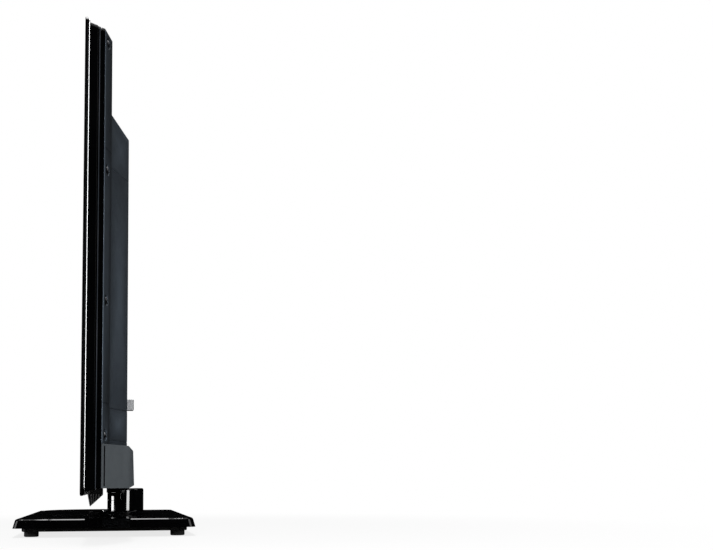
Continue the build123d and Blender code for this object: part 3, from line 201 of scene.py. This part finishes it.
def linkLamp(lamp, values):
    if "lights" in values:
        group = bpy.data.collections.new(lamp.name + "Group")
        for node in values["lights"]:
            group.objects.link(nodes[node])
        lamp.light_linking.receiver_collection = group


def makeLamps(lamps, openSpread):
    for name, values in lamps.items():
        data = bpy.data.lights.new(name, "AREA")
        data.shape = "RECTANGLE"
        data.size, data.size_y = values["size"]
        data.energy = values["power"]
        data.spread = math.radians(values.get("spread", openSpread))
        lamp = bpy.data.objects.new(name, data)
        lamp.location = values["place"]
        aim = Vector(values["aim"]) - lamp.location
        lamp.rotation_euler = aim.to_track_quat("-Z", "Y").to_euler()
        lamp.visible_camera = False
        lamp.visible_diffuse = not values.get("glossOnly", False)
        lamp.visible_glossy = not values.get("matteOnly", False)
        linkLamp(lamp, values)
        bpy.context.collection.objects.link(lamp)


def showOnlyInReflections(board):
    board.visible_camera = False
    board.visible_diffuse = False
    board.visible_transmission = False
    board.visible_shadow = False


def makeFlags(values):
    material, _, shader = startFinish("flagBlack")
    shader.inputs["Base Color"].default_value = values["colour"]
    shader.inputs["Specular IOR Level"].default_value = 0.0
    for name, turn in values["turns"].items():
        bm = bmesh.new()
        bmesh.ops.create_grid(bm, x_segments=1, y_segments=1, size=0.5)
        bmesh.ops.scale(bm, vec=(values["height"], values["width"], 1), verts=bm.verts)
        bmesh.ops.rotate(bm, matrix=Matrix.Rotation(math.pi / 2, 3, "Y"), verts=bm.verts)
        bmesh.ops.translate(bm, vec=(values["distance"], 0, values["height"] / 2), verts=bm.verts)
        bmesh.ops.rotate(bm, matrix=Matrix.Rotation(math.radians(turn), 3, "Z"), verts=bm.verts)
        flag = addObject(name, bm)
        flag.data.materials.append(material)
        showOnlyInReflections(flag)
    return material


def makeTable(values, material):
    bm = bmesh.new()
    bmesh.ops.create_grid(bm, x_segments=1, y_segments=1, size=values["size"] / 2)
    bmesh.ops.translate(bm, vec=(0, 0, values["level"]), verts=bm.verts)
    table = addObject("darkTable", bm)
    table.data.materials.append(material)
    showOnlyInReflections(table)


bpy.context.scene.view_settings.view_transform = "Standard"
makeCamera(camera)
makeFloor(studio["floor"])
makeSky(studio["sky"])
makeLamps(studio["lamps"], studio["openSpread"])
makeTable(studio["table"], makeFlags(studio["flags"]))
print("camera, floor and lamps are in place")


# Finishes

noiseReach = (0.3, 0.7)  # most of a noise pattern's values lie between these


def patternPlace(tree, scale):
    place = tree.nodes.new("ShaderNodeTexCoord")
    mapping = tree.nodes.new("ShaderNodeMapping")
    mapping.inputs["Scale"].default_value = scale
    tree.links.new(place.outputs["Object"], mapping.inputs["Vector"])
    return mapping.outputs["Vector"]


def noiseOn(tree, scale, detail, stretch=(1, 1, 1)):
    noise = tree.nodes.new("ShaderNodeTexNoise")
    noise.inputs["Scale"].default_value = scale
    noise.inputs["Detail"].default_value = detail
    tree.links.new(patternPlace(tree, stretch), noise.inputs["Vector"])
    return noise.outputs["Fac"]


def spread(tree, source, low, high, socket):
    span = tree.nodes.new("ShaderNodeMapRange")
    span.inputs["From Min"].default_value = noiseReach[0]
    span.inputs["From Max"].default_value = noiseReach[1]
    span.inputs["To Min"].default_value = low
    span.inputs["To Max"].default_value = high
    tree.links.new(source, span.inputs["Value"])
    tree.links.new(span.outputs["Result"], socket)


def tint(tree, source, first, second, socket, reach=noiseReach):
    ramp = tree.nodes.new("ShaderNodeValToRGB")
    ramp.color_ramp.elements[0].position = reach[0]
    ramp.color_ramp.elements[1].position = reach[1]
    ramp.color_ramp.elements[0].color = (*first, 1)
    ramp.color_ramp.elements[1].color = (*second, 1)
    tree.links.new(source, ramp.inputs["Fac"])
    tree.links.new(ramp.outputs["Color"], socket)


def addRelief(tree, shader, source, height, strength):
    bump = tree.nodes.new("ShaderNodeBump")
    bump.inputs["Distance"].default_value = height
    bump.inputs["Strength"].default_value = strength
    tree.links.new(source, bump.inputs["Height"])
    tree.links.new(bump.outputs["Normal"], shader.inputs["Normal"])


finishes = {}

# In each pattern, a pair is a noise's scale and detail
glossPattern = {"cloud": (14, 4), "smear": (42, 6), "wave": (9, 2), "waveHeight": 0.0004,
                "waveStrength": 0.08, "ior": 1.49}

glossFinishes = {
    "glossBlack": {"dark": (0.0006, 0.0006, 0.0007), "pale": (0.0013, 0.0013, 0.0015),
                   "rough": (0.03, 0.08), "specular": 0.45},
    "cabinetBlack": {"dark": (0.0004, 0.0005, 0.0006), "pale": (0.0010, 0.0011, 0.0013),
                     "rough": (0.10, 0.15), "specular": 0.14},
    "neckBlack": {"dark": (0.0008, 0.0009, 0.0011), "pale": (0.0016, 0.0018, 0.0021),
                  "rough": (0.06, 0.12), "specular": 0.45},
}


def makeGlossFinish(name, values, pattern):
    material, tree, shader = startFinish(name)
    tint(tree, noiseOn(tree, *pattern["cloud"]), values["dark"], values["pale"], shader.inputs["Base Color"])
    spread(tree, noiseOn(tree, *pattern["smear"]), *values["rough"], shader.inputs["Roughness"])
    slowWave = noiseOn(tree, *pattern["wave"])  # of a moulded face
    addRelief(tree, shader, slowWave, pattern["waveHeight"], pattern["waveStrength"])
    shader.inputs["IOR"].default_value = pattern["ior"]
    shader.inputs["Specular IOR Level"].default_value = values["specular"]
    finishes[name] = material


for name, values in glossFinishes.items():
    makeGlossFinish(name, values, glossPattern)

grainPattern = {"cloud": (55, 6), "smear": (25, 3), "grainDetail": 2, "strength": 0.55, "specular": 0.5}

grainFinishes = {
    "coverGrey": {"dark": (0.026, 0.033, 0.042), "pale": (0.030, 0.038, 0.047), "rough": (0.50, 0.62),
                  "grain": 1500, "height": 0.00006, "specular": 0.3},
    "lowerGrey": {"dark": (0.078, 0.090, 0.099), "pale": (0.090, 0.103, 0.113), "rough": (0.50, 0.62),
                  "grain": 1500, "height": 0.00006, "specular": 0.3},
    "mouldedBlack": {"dark": (0.014, 0.014, 0.016), "pale": (0.024, 0.024, 0.026), "rough": (0.40, 0.55),
                     "grain": 1900, "height": 0.00004},
    # the ribs' light grey is partly their own dark grey and partly a painted highlight for the light they
    # catch
    "ribGreyAndHighlight": {"dark": (0.24, 0.24, 0.245), "pale": (0.36, 0.36, 0.365), "rough": (0.35, 0.50),
                "grain": 1900, "height": 0.00003},
    "rubberBlack": {"dark": (0.014, 0.014, 0.014), "pale": (0.028, 0.028, 0.028), "rough": (0.70, 0.88),
                    "grain": 1100, "height": 0.00008},
    "sheetWhite": {"dark": (0.74, 0.74, 0.72), "pale": (0.84, 0.84, 0.82), "rough": (0.45, 0.6),
                   "grain": 700, "height": 0.00003},
    "ribbonWhite": {"dark": (0.62, 0.58, 0.46), "pale": (0.74, 0.72, 0.64), "rough": (0.35, 0.5),
                    "grain": 500, "height": 0.00003},
    "bearingPlastic": {"dark": (0.66, 0.66, 0.63), "pale": (0.76, 0.76, 0.74), "rough": (0.35, 0.5),
                       "grain": 900, "height": 0.00003},
    "pottedParts": {"dark": (0.030, 0.028, 0.024), "pale": (0.085, 0.075, 0.055), "rough": (0.35, 0.55),
                    "grain": 240, "height": 0.0001},
    "lightPipe": {"dark": (0.52, 0.57, 0.62), "pale": (0.66, 0.70, 0.74), "rough": (0.08, 0.18),
                  "grain": 300, "height": 0.00001},
    "filterRed": {"dark": (0.030, 0.006, 0.009), "pale": (0.060, 0.012, 0.016), "rough": (0.06, 0.14),
                  "grain": 200, "height": 0.00001},
    "clearGuide": {"dark": (0.80, 0.84, 0.84), "pale": (0.88, 0.92, 0.92), "rough": (0.08, 0.2),
                   "grain": 300, "height": 0.00001},
}


def makeGrainFinish(name, values, pattern):
    material, tree, shader = startFinish(name)
    tint(tree, noiseOn(tree, *pattern["cloud"]), values["dark"], values["pale"], shader.inputs["Base Color"])
    spread(tree, noiseOn(tree, *pattern["smear"]), *values["rough"], shader.inputs["Roughness"])
    grain = noiseOn(tree, values["grain"], pattern["grainDetail"])
    addRelief(tree, shader, grain, values["height"], pattern["strength"])
    shader.inputs["Specular IOR Level"].default_value = values.get("specular", pattern["specular"])
    finishes[name] = material


for name, values in grainFinishes.items():
    makeGrainFinish(name, values, grainPattern)


def blendAlongDepth(tree, socket, first, second, start, end):
    source = socket.links[0].from_socket
    place = tree.nodes.new("ShaderNodeTexCoord")
    split = tree.nodes.new("ShaderNodeSeparateXYZ")
    share = tree.nodes.new("ShaderNodeMapRange")
    share.inputs["From Min"].default_value = start
    share.inputs["From Max"].default_value = end
    share.inputs["To Min"].default_value = first
    share.inputs["To Max"].default_value = second
    tree.links.new(place.outputs["Object"], split.inputs["Vector"])
    tree.links.new(split.outputs["Y"], share.inputs["Value"])
    scale = tree.nodes.new("ShaderNodeVectorMath")
    scale.operation = "SCALE"
    tree.links.new(source, scale.inputs[0])
    tree.links.new(share.outputs["Result"], scale.inputs["Scale"])
    tree.links.new(scale.outputs["Vector"], socket)


coverShade = {
    "rimShare": 0.65, "bulgeLitShare": 1.30, "start": 0.0046, "end": 0.0052,  # painted shade: the rim is darker and the raised middle lighter, standing in for how light falls on them
    "edgeHighlightShare": 3.4, "edge": 0.0010, "fade": 0.0002,  # painted highlight: a light line where light catches the front edge of the cover
}


def shadeCover(values):
    tree = finishes["coverGrey"].node_tree
    colour = tree.nodes["Principled BSDF"].inputs["Base Color"]
    blendAlongDepth(tree, colour, values["rimShare"], values["bulgeLitShare"], values["start"], values["end"])
    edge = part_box("rear_cover")[0][1] + values["edge"]
    blendAlongDepth(tree, colour, values["edgeHighlightShare"], 1.0, edge, edge + values["fade"])


shadeCover(coverShade)

# Painted highlight: a light line on the cabinet where the groove's edge catches light
cabinetHighlight = {"line": 0.0151, "width": 0.0008, "fade": 0.0001, "share": 60.0}


def paintCabinetHighlight(values):
    tree = finishes["cabinetBlack"].node_tree
    colour = tree.nodes["Principled BSDF"].inputs["Base Color"]
    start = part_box("front_cabinet")[0][1] + values["line"]
    end = start + values["width"]
    blendAlongDepth(tree, colour, 1.0, values["share"], start, start + values["fade"])
    blendAlongDepth(tree, colour, 1.0, 1.0 / values["share"], end, end + values["fade"])


paintCabinetHighlight(cabinetHighlight)

metalPattern = {"cloud": (60, 5), "grainDetail": 3, "height": 0.00002, "relief": 0.3, "metal": 1.0,
                "stretch": (1, 1, 1)}

metalFinishes = {
    "brightTrim": {"dark": (0.66, 0.67, 0.68), "pale": (0.74, 0.75, 0.76), "rough": (0.26, 0.29),
                   "stretch": (0.03, 1, 0.03), "grain": 900, "relief": 0.04},
    "screwSteel": {"dark": (0.20, 0.20, 0.21), "pale": (0.36, 0.36, 0.37), "rough": (0.24, 0.42),
                   "grain": 600},
    "pressedSteel": {"dark": (0.44, 0.45, 0.47), "pale": (0.60, 0.61, 0.63), "rough": (0.28, 0.46),
                     "grain": 90},
    "socketMetal": {"dark": (0.62, 0.63, 0.65), "pale": (0.76, 0.77, 0.79), "rough": (0.16, 0.30),
                    "grain": 500},
    "paintedSteel": {"dark": (0.004, 0.004, 0.004), "pale": (0.010, 0.010, 0.010), "rough": (0.34, 0.48),
                     "grain": 700, "metal": 0.0},
    "sinkMetal": {"dark": (0.54, 0.55, 0.57), "pale": (0.68, 0.69, 0.71), "rough": (0.3, 0.45),
                  "stretch": (1, 1, 0.1), "grain": 700},
}


def makeMetalFinish(name, ownValues, pattern):
    values = {**pattern, **ownValues}
    material, tree, shader = startFinish(name)
    shader.inputs["Metallic"].default_value = values["metal"]
    tint(tree, noiseOn(tree, *values["cloud"]), values["dark"], values["pale"], shader.inputs["Base Color"])
    brushed = noiseOn(tree, values["grain"], values["grainDetail"], values["stretch"])
    spread(tree, brushed, *values["rough"], shader.inputs["Roughness"])
    addRelief(tree, shader, brushed, values["height"], values["relief"])
    finishes[name] = material


for name, values in metalFinishes.items():
    makeMetalFinish(name, values, metalPattern)

trimShade = {"lip": 0.0021, "fade": 0.0002, "black": 0.004}  # black lip in front of the bright line


def shadeTrim(values):
    tree = finishes["brightTrim"].node_tree
    shader = tree.nodes["Principled BSDF"]
    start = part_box("trim_band")[0][1] + values["lip"]
    blendAlongDepth(tree, shader.inputs["Base Color"], values["black"], 1.0, start, start + values["fade"])


shadeTrim(trimShade)

boardFinish = {
    "resist": (0.016, 0.075, 0.030), "track": (0.040, 0.135, 0.060), "trackScale": 260,
    "rough": (0.28, 0.40), "smear": (120, 3), "raise": 0.00004, "strength": 0.4,
}


def makeBoardFinish(values):
    material, tree, shader = startFinish("boardGreen")
    cells = tree.nodes.new("ShaderNodeTexBrick")
    cells.inputs["Scale"].default_value = values["trackScale"]
    cells.inputs["Color1"].default_value = (*values["resist"], 1)
    cells.inputs["Color2"].default_value = (*values["track"], 1)
    cells.inputs["Mortar"].default_value = (*values["track"], 1)
    upright = tree.nodes.new("ShaderNodeMapping")  # the boards stand, so their pattern does too
    upright.inputs["Rotation"].default_value = (math.pi / 2, 0, 0)
    place = tree.nodes.new("ShaderNodeTexCoord")
    tree.links.new(place.outputs["Object"], upright.inputs["Vector"])
    tree.links.new(upright.outputs["Vector"], cells.inputs["Vector"])
    tree.links.new(cells.outputs["Color"], shader.inputs["Base Color"])
    spread(tree, noiseOn(tree, *values["smear"]), *values["rough"], shader.inputs["Roughness"])
    addRelief(tree, shader, cells.outputs["Fac"], values["raise"], values["strength"])
    finishes["boardGreen"] = material


makeBoardFinish(boardFinish)

pictureFinish = {
    "glass": (0.010, 0.011, 0.014), "line": (0.003, 0.003, 0.003), "lineReach": (0.0, 0.6),
    "linePitch": 0.006, "waveTurn": 20,  # radians in a metre of a wave pattern at a scale of one
    "rough": (0.22, 0.27), "smear": (1600, 2), "grain": (2200, 2), "height": 0.00002, "strength": 0.25,
    "ior": 1.5,
}


def makePictureFinish(values):
    material, tree, shader = startFinish("pictureGlass")
    place = tree.nodes.new("ShaderNodeTexCoord")
    wave = tree.nodes.new("ShaderNodeTexWave")
    wave.wave_type = "BANDS"
    wave.bands_direction = "X"
    wave.inputs["Scale"].default_value = 2 * math.pi / values["waveTurn"] / values["linePitch"]
    tree.links.new(place.outputs["Object"], wave.inputs["Vector"])
    tint(tree, wave.outputs["Fac"], values["line"], values["glass"], shader.inputs["Base Color"],
         values["lineReach"])
    spread(tree, noiseOn(tree, *values["smear"]), *values["rough"], shader.inputs["Roughness"])
    addRelief(tree, shader, noiseOn(tree, *values["grain"]), values["height"], values["strength"])
    shader.inputs["IOR"].default_value = values["ior"]
    finishes["pictureGlass"] = material


makePictureFinish(pictureFinish)

jackFinish = {
    "yellow": (0.75, 0.55, 0.03), "white": (0.80, 0.80, 0.78), "red": (0.50, 0.02, 0.02),
    "whiteShare": 0.34, "redShare": 0.67,  # where each colour starts along the row
    "rough": (0.35, 0.5), "smear": (90, 3),
}


def makeJackFinish(values):
    material, tree, shader = startFinish("jackPlastic")
    low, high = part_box("audio_jacks")
    place = tree.nodes.new("ShaderNodeTexCoord")
    split = tree.nodes.new("ShaderNodeSeparateXYZ")
    tree.links.new(place.outputs["Object"], split.inputs["Vector"])
    along = tree.nodes.new("ShaderNodeMapRange")
    along.inputs["From Min"].default_value = low[0]
    along.inputs["From Max"].default_value = high[0]
    tree.links.new(split.outputs["X"], along.inputs["Value"])
    ramp = tree.nodes.new("ShaderNodeValToRGB")
    ramp.color_ramp.interpolation = "CONSTANT"
    ramp.color_ramp.elements[0].color = (*values["yellow"], 1)
    ramp.color_ramp.elements[1].position = values["whiteShare"]
    ramp.color_ramp.elements[1].color = (*values["white"], 1)
    ramp.color_ramp.elements.new(values["redShare"]).color = (*values["red"], 1)
    tree.links.new(along.outputs["Result"], ramp.inputs["Fac"])
    tree.links.new(ramp.outputs["Color"], shader.inputs["Base Color"])
    spread(tree, noiseOn(tree, *values["smear"]), *values["rough"], shader.inputs["Roughness"])
    finishes["jackPlastic"] = material


makeJackFinish(jackFinish)
print("finishes are made:", len(finishes))


# Finish of each carried-over node

slotFinishes = {
    "gloss_black": "glossBlack", "black_cabinet": "cabinetBlack", "bright_trim": "brightTrim",
    "cover_grey": "coverGrey", "lower_grey": "lowerGrey", "moulded_black": "mouldedBlack",
    "neck_black": "neckBlack", "rubber": "rubberBlack", "screw_steel": "screwSteel",
    "pressed_steel": "pressedSteel", "painted_steel": "paintedSteel", "socket_metal": "socketMetal",
    "cell_glass": "pictureGlass", "sheet_white": "sheetWhite", "guide_clear": "clearGuide",
    "board_green": "boardGreen", "board_parts": "pottedParts", "sink_metal": "sinkMetal",
    "ribbon_white": "ribbonWhite", "jack_plastic": "jackPlastic", "sensor_red": "filterRed",
    "light_pipe": "lightPipe", "bearing_plastic": "bearingPlastic",
}

edges = {
    "angle": 32.0, "segments": 2,
    "widths": {
        "front_plate": 0.0002, "trim_band": 0.0002, "front_cabinet": 0.0003, "rear_cover": 0.0004,
        "lower_cover": 0.0005, "base_plate": 0.0004, "swivel_disc": 0.0003,
        "neck_column": 0.0003, "neck_post": 0.0003, "neck_collar": 0.0003, "sensor_chin": 0.0002,
        "vent_grille": 0.0002, "terminal_panel": 0.0002, "key_panel": 0.0002, "aerial_socket": 0.0002,
        "mains_inlet": 0.0002, "hdmi_sockets": 0.0001, "audio_jacks": 0.0001,
        "power_button": 0.0002, "menu_button": 0.0002, "volume_up_button": 0.0002,
        "volume_down_button": 0.0002, "channel_up_button": 0.0002, "channel_down_button": 0.0002,
    },
}


def dressNodes():
    for part in frame["record"]["subparts"]:
        piece = nodes[part["node"]]
        piece.data.materials.clear()
        piece.data.materials.append(finishes[slotFinishes[part["material_slot"]]])


def softenEdges(values):
    for node, width in values["widths"].items():
        piece = nodes[node]
        weld = piece.modifiers.new("weld", "WELD")
        weld.merge_threshold = weldDistance
        bevel = piece.modifiers.new("bevel", "BEVEL")
        bevel.width = width
        bevel.segments = values["segments"]
        bevel.limit_method = "ANGLE"
        bevel.angle_limit = math.radians(values["angle"])
        bevel.use_clamp_overlap = False
        piece.modifiers.new("normals", "WEIGHTED_NORMAL")


dressNodes()
softenEdges(edges)
print("carried-over nodes are dressed")


# Helpers for new pieces

def islandBoxes(node):
    bm = bmesh.new()
    bm.from_mesh(nodes[node].data)
    bmesh.ops.remove_doubles(bm, verts=bm.verts, dist=weldDistance)
    seen = set()
    boxes = []
    for start in bm.verts:
        if start in seen:
            continue
        seen.add(start)
        stack = [start]
        island = []
        while stack:
            vertex = stack.pop()
            island.append(vertex.co.copy())
            for edge in vertex.link_edges:
                other = edge.other_vert(vertex)
                if other not in seen:
                    seen.add(other)
                    stack.append(other)
        low = Vector((min(p.x for p in island), min(p.y for p in island), min(p.z for p in island)))
        high = Vector((max(p.x for p in island), max(p.y for p in island), max(p.z for p in island)))
        boxes.append((low, high))
    bm.free()
    return boxes


def spinOutline(bm, vertices, ends, centre, axis, steps):
    outline = [bm.edges.new(pair) for pair in zip(vertices, ends)]
    bmesh.ops.spin(bm, geom=vertices + outline, cent=centre, axis=axis, angle=2 * math.pi, steps=steps,
                   use_merge=True)


def closeSpins(bm):
    bmesh.ops.remove_doubles(bm, verts=bm.verts, dist=mergeDistance)
    bmesh.ops.recalc_face_normals(bm, faces=bm.faces)


def roundEdges(bm, width):
    bmesh.ops.bevel(bm, geom=bm.edges[:], offset=width, segments=1, profile=0.5, affect="EDGES", material=-1)


def addPiece(name, bm, finish, body):
    piece = addObject(name, bm)
    piece.data.shade_smooth()
    piece.data.materials.append(finishes[finish])
    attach(piece, body)
    return piece


# Screws

screws = {
    "segments": 24, "flatShare": 0.55, "shoulderShare": 0.85, "domeShare": 0.28, "rimShare": 0.4,
    "recessArm": 0.468, "recessWidth": 0.12, "recessDepth": 0.0016, "recessTaper": 0.55,
    "threadPitch": 0.0011, "threadDepth": 0.00028, "tip": 0.0004,
    "turnStep": 0.9,  # radians from one screw's recess to the next one's
}


# Radii of the shank and the head, then the head's height and the shank's length
coverScrews = {"shank": 0.0015, "head": 0.0042, "headHeight": 0.0026, "length": 0.0120}
baseScrews = {"shank": 0.0020, "head": 0.0040, "headHeight": 0.0024, "length": 0.0090}


def screwBlank(values, sizes):
    pitch = values["threadPitch"]
    shank = sizes["shank"]
    head = sizes["head"]
    height = sizes["headHeight"]
    length = sizes["length"]
    root = shank - values["threadDepth"]
    points = [(0, height), (head * values["flatShare"], height),
              (head * values["shoulderShare"], height * (1 - values["domeShare"])),
              (head, height * values["rimShare"]), (head, 0), (shank, 0)]
    for turn in range(int(length / pitch) - 1):
        level = -pitch * (turn + 0.5)
        points += [(root, level), (shank, level - pitch / 2)]
    points += [(root, -length + values["tip"]), (0, -length)]
    bm = bmesh.new()
    vertices = [bm.verts.new((x, 0, z)) for x, z in points]
    spinOutline(bm, vertices, vertices[1:], (0, 0, 0), (0, 0, 1), values["segments"])
    closeSpins(bm)
    return addObject("screwBlank", bm)


def recessTool(values, sizes):
    bm = bmesh.new()
    arm = 2 * sizes["head"] * values["recessArm"]
    width = 2 * sizes["head"] * values["recessWidth"]
    top = sizes["headHeight"]
    for sides in ((arm, width), (width, arm)):
        size = Matrix.Diagonal((*sides, 2 * values["recessDepth"], 1))
        cube = bmesh.ops.create_cube(bm, size=1, matrix=Matrix.Translation((0, 0, top)) @ size)
        for vertex in cube["verts"]:
            if vertex.co.z < top:
                vertex.co.x *= values["recessTaper"]
                vertex.co.y *= values["recessTaper"]
    return addObject("recessTool", bm)


def makeScrew(values, sizes):
    blank = screwBlank(values, sizes)
    tool = recessTool(values, sizes)
    cut = blank.modifiers.new("recess", "BOOLEAN")
    cut.object = tool
    cut.solver = "EXACT"
    cut.use_self = True
    bpy.context.view_layer.update()
    evaluated = blank.evaluated_get(bpy.context.evaluated_depsgraph_get())
    made = bpy.data.meshes.new_from_object(evaluated)
    for item in (blank, tool):
        bpy.data.objects.remove(item)
    return made


def placeScrews(name, node, body, axis, sizes):
    screw = makeScrew(screws, sizes)
    height = sizes["headHeight"]
    bm = bmesh.new()
    for index, (low, high) in enumerate(islandBoxes(node)):
        middle = (low + high) / 2
        turn = Matrix.Rotation(index * screws["turnStep"], 4, "Z")
        if axis == "Y":
            seat = Vector((middle.x, high.y - height, middle.z))
            stand = Matrix.Rotation(-math.pi / 2, 4, "X")
        else:
            seat = Vector((middle.x, middle.y, low.z + height))
            stand = Matrix.Rotation(math.pi, 4, "X")
        first = len(bm.verts)
        bm.from_mesh(screw)
        bm.verts.ensure_lookup_table()
        bmesh.ops.transform(bm, matrix=Matrix.Translation(seat) @ stand @ turn, verts=bm.verts[first:])
    piece = addPiece(name, bm, "screwSteel", body)
    piece.modifiers.new("normals", "WEIGHTED_NORMAL").keep_sharp = True
    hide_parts(node)


placeScrews("coverScrewSet", "cover_screws", "head", "Y", coverScrews)
placeScrews("baseScrewSet", "base_screws", "stand_base", "Z", baseScrews)
print("screws are placed")


# Feet

feet = {"radius": 0.0104, "recess": 0.0050, "recessDepth": 0.0012, "chamfer": 0.0012, "chamferShare": 0.35,
        "grooveCount": 3, "grooveWidth": 0.0005, "grooveDepth": 0.0004, "grooveTaper": 0.5,
        "startShare": 0.7, "spareShare": 0.4,  # of a groove's step, kept free at the outside and overall
        "segments": 48}


def footOutline(values, top):
    radius = values["radius"]
    chamfer = values["chamfer"]
    cut = values["chamferShare"] * chamfer
    points = [(0, top), (radius, top), (radius, chamfer), (radius - cut, cut), (radius - chamfer, 0)]
    step = (radius - chamfer - values["recess"]) / (values["grooveCount"] + values["spareShare"])
    half = values["grooveWidth"] / 2
    narrow = half * values["grooveTaper"]
    for number in range(values["grooveCount"]):
        groove = radius - chamfer - step * (number + values["startShare"])
        points += [(groove + half, 0), (groove + narrow, values["grooveDepth"]),
                   (groove - narrow, values["grooveDepth"]), (groove - half, 0)]
    return points + [(values["recess"], 0), (values["recess"], values["recessDepth"]),
                     (0, values["recessDepth"])]


def makeFeet(values):
    boxes = islandBoxes("base_feet")
    points = footOutline(values, boxes[0][1].z)
    bm = bmesh.new()
    for low, high in boxes:
        middle = (low + high) / 2
        vertices = [bm.verts.new((middle.x + x, middle.y, z)) for x, z in points]
        spinOutline(bm, vertices, vertices[1:], (middle.x, middle.y, 0), (0, 0, 1), values["segments"])
    closeSpins(bm)
    piece = addPiece("rubberFeet", bm, "rubberBlack", "stand_base")
    piece.modifiers.new("normals", "WEIGHTED_NORMAL")
    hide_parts("base_feet")


makeFeet(feet)
print("feet are made")


# Ribs on the ends of the chin

ribs = {"count": 6, "width": 0.0017, "height": 0.0008, "sink": 0.0001, "round": 0.0002,
        "topLevel": 0.0588, "topReach": (-0.0278, -0.0062),
        "lowEdge": ((-0.0246, 0.0398), (-0.0186, 0.0450), (-0.0062, 0.0562)),
        "endTop": (0.0860, 0.0595), "endFoot": (0.0600, 0.0391)}


def alongEdge(corners, share):
    reach = share * (len(corners) - 1)
    index = min(int(reach), len(corners) - 2)
    return Vector(corners[index]).lerp(Vector(corners[index + 1]), reach - index)


def makeRibs(values):
    bm = bmesh.new()
    footX, footZ = values["endFoot"]
    run = values["endTop"][0] - footX
    rise = values["endTop"][1] - footZ
    front, back = values["topReach"]
    for way in (-1, 1):
        outward = Vector((way * rise, 0, -run)).normalized()
        for number in range(values["count"]):
            share = number / (values["count"] - 1)
            low = alongEdge(values["lowEdge"], share)
            high = Vector((front + share * (back - front), values["topLevel"]))
            ends = [Vector((way * (footX + (z - footZ) * run / rise), y, z)) for y, z in (low, high)]
            along = ends[1] - ends[0]
            across = outward.cross(along).normalized()
            turn = Matrix((along.normalized(), across, outward)).transposed().to_4x4()
            middle = (ends[0] + ends[1]) / 2 + outward * (values["height"] / 2 - values["sink"])
            size = Matrix.Diagonal((along.length, values["width"], values["height"], 1))
            bmesh.ops.create_cube(bm, size=1, matrix=Matrix.Translation(middle) @ turn @ size)
    roundEdges(bm, values["round"])
    piece = addPiece("chinRibs", bm, "ribGreyAndHighlight", "head")
    piece.data.shade_flat()


makeRibs(ribs)
print("chin ribs are made")


# Threads in the wall-mount posts

threads = {"hole": 0.0030, "depth": 0.0200, "pitch": 0.0010, "rise": 0.00026, "wall": 0.0004,
           "setback": 0.0003, "spareTurns": 2, "segments": 32}


def makeThreads(values):
    bm = bmesh.new()
    hole = values["hole"]
    outer = hole + values["wall"]
    pitch = values["pitch"]
    count = int(values["depth"] / pitch) - values["spareTurns"]
    for low, high in islandBoxes("mount_posts"):
        middle = (low + high) / 2
        mouth = high.y - values["setback"]
        points = [(outer, mouth)]
        for number in range(count):
            level = mouth - number * pitch
            points += [(hole, level), (hole - values["rise"], level - pitch / 2)]
        points += [(hole, mouth - count * pitch), (outer, mouth - count * pitch)]
        vertices = [bm.verts.new((middle.x + x, y, middle.z)) for x, y in points]
        closed = vertices[1:] + vertices[:1]
        spinOutline(bm, vertices, closed, (middle.x, 0, middle.z), (0, 1, 0), values["segments"])
    closeSpins(bm)
    addPiece("mountThreads", bm, "screwSteel", "head")


makeThreads(threads)


# Contacts on the picture sockets' tongues

contacts = {"count": 10, "pitch": 0.0010, "width": 0.0005, "height": 0.00012, "length": 0.0060,
            "setback": 0.0016, "tongue": 0.0009, "round": 0.00003,
            "dark": (0.66, 0.46, 0.16), "pale": (0.80, 0.60, 0.26), "cloud": (900, 3),
            "rough": (0.2, 0.36), "smear": (1400, 3)}


def makeContactFinish(values):
    material, tree, shader = startFinish("contactGold")
    shader.inputs["Metallic"].default_value = 1.0
    tint(tree, noiseOn(tree, *values["cloud"]), values["dark"], values["pale"], shader.inputs["Base Color"])
    spread(tree, noiseOn(tree, *values["smear"]), *values["rough"], shader.inputs["Roughness"])
    finishes["contactGold"] = material


def makeContacts(values):
    bm = bmesh.new()
    size = Matrix.Diagonal((values["width"], values["length"], values["height"], 1))
    for low, high in islandBoxes("hdmi_sockets"):
        middle = (low + high) / 2
        for number in range(values["count"]):
            across = (number - (values["count"] - 1) / 2) * values["pitch"]
            centre = Vector((middle.x + across, high.y - values["setback"] - values["length"] / 2,
                             middle.z - values["tongue"] - values["height"] / 2))
            bmesh.ops.create_cube(bm, size=1, matrix=Matrix.Translation(centre) @ size)
    roundEdges(bm, values["round"])
    addPiece("socketContacts", bm, "contactGold", "head")


makeContactFinish(contacts)
makeContacts(contacts)
print("threads and contacts are made")
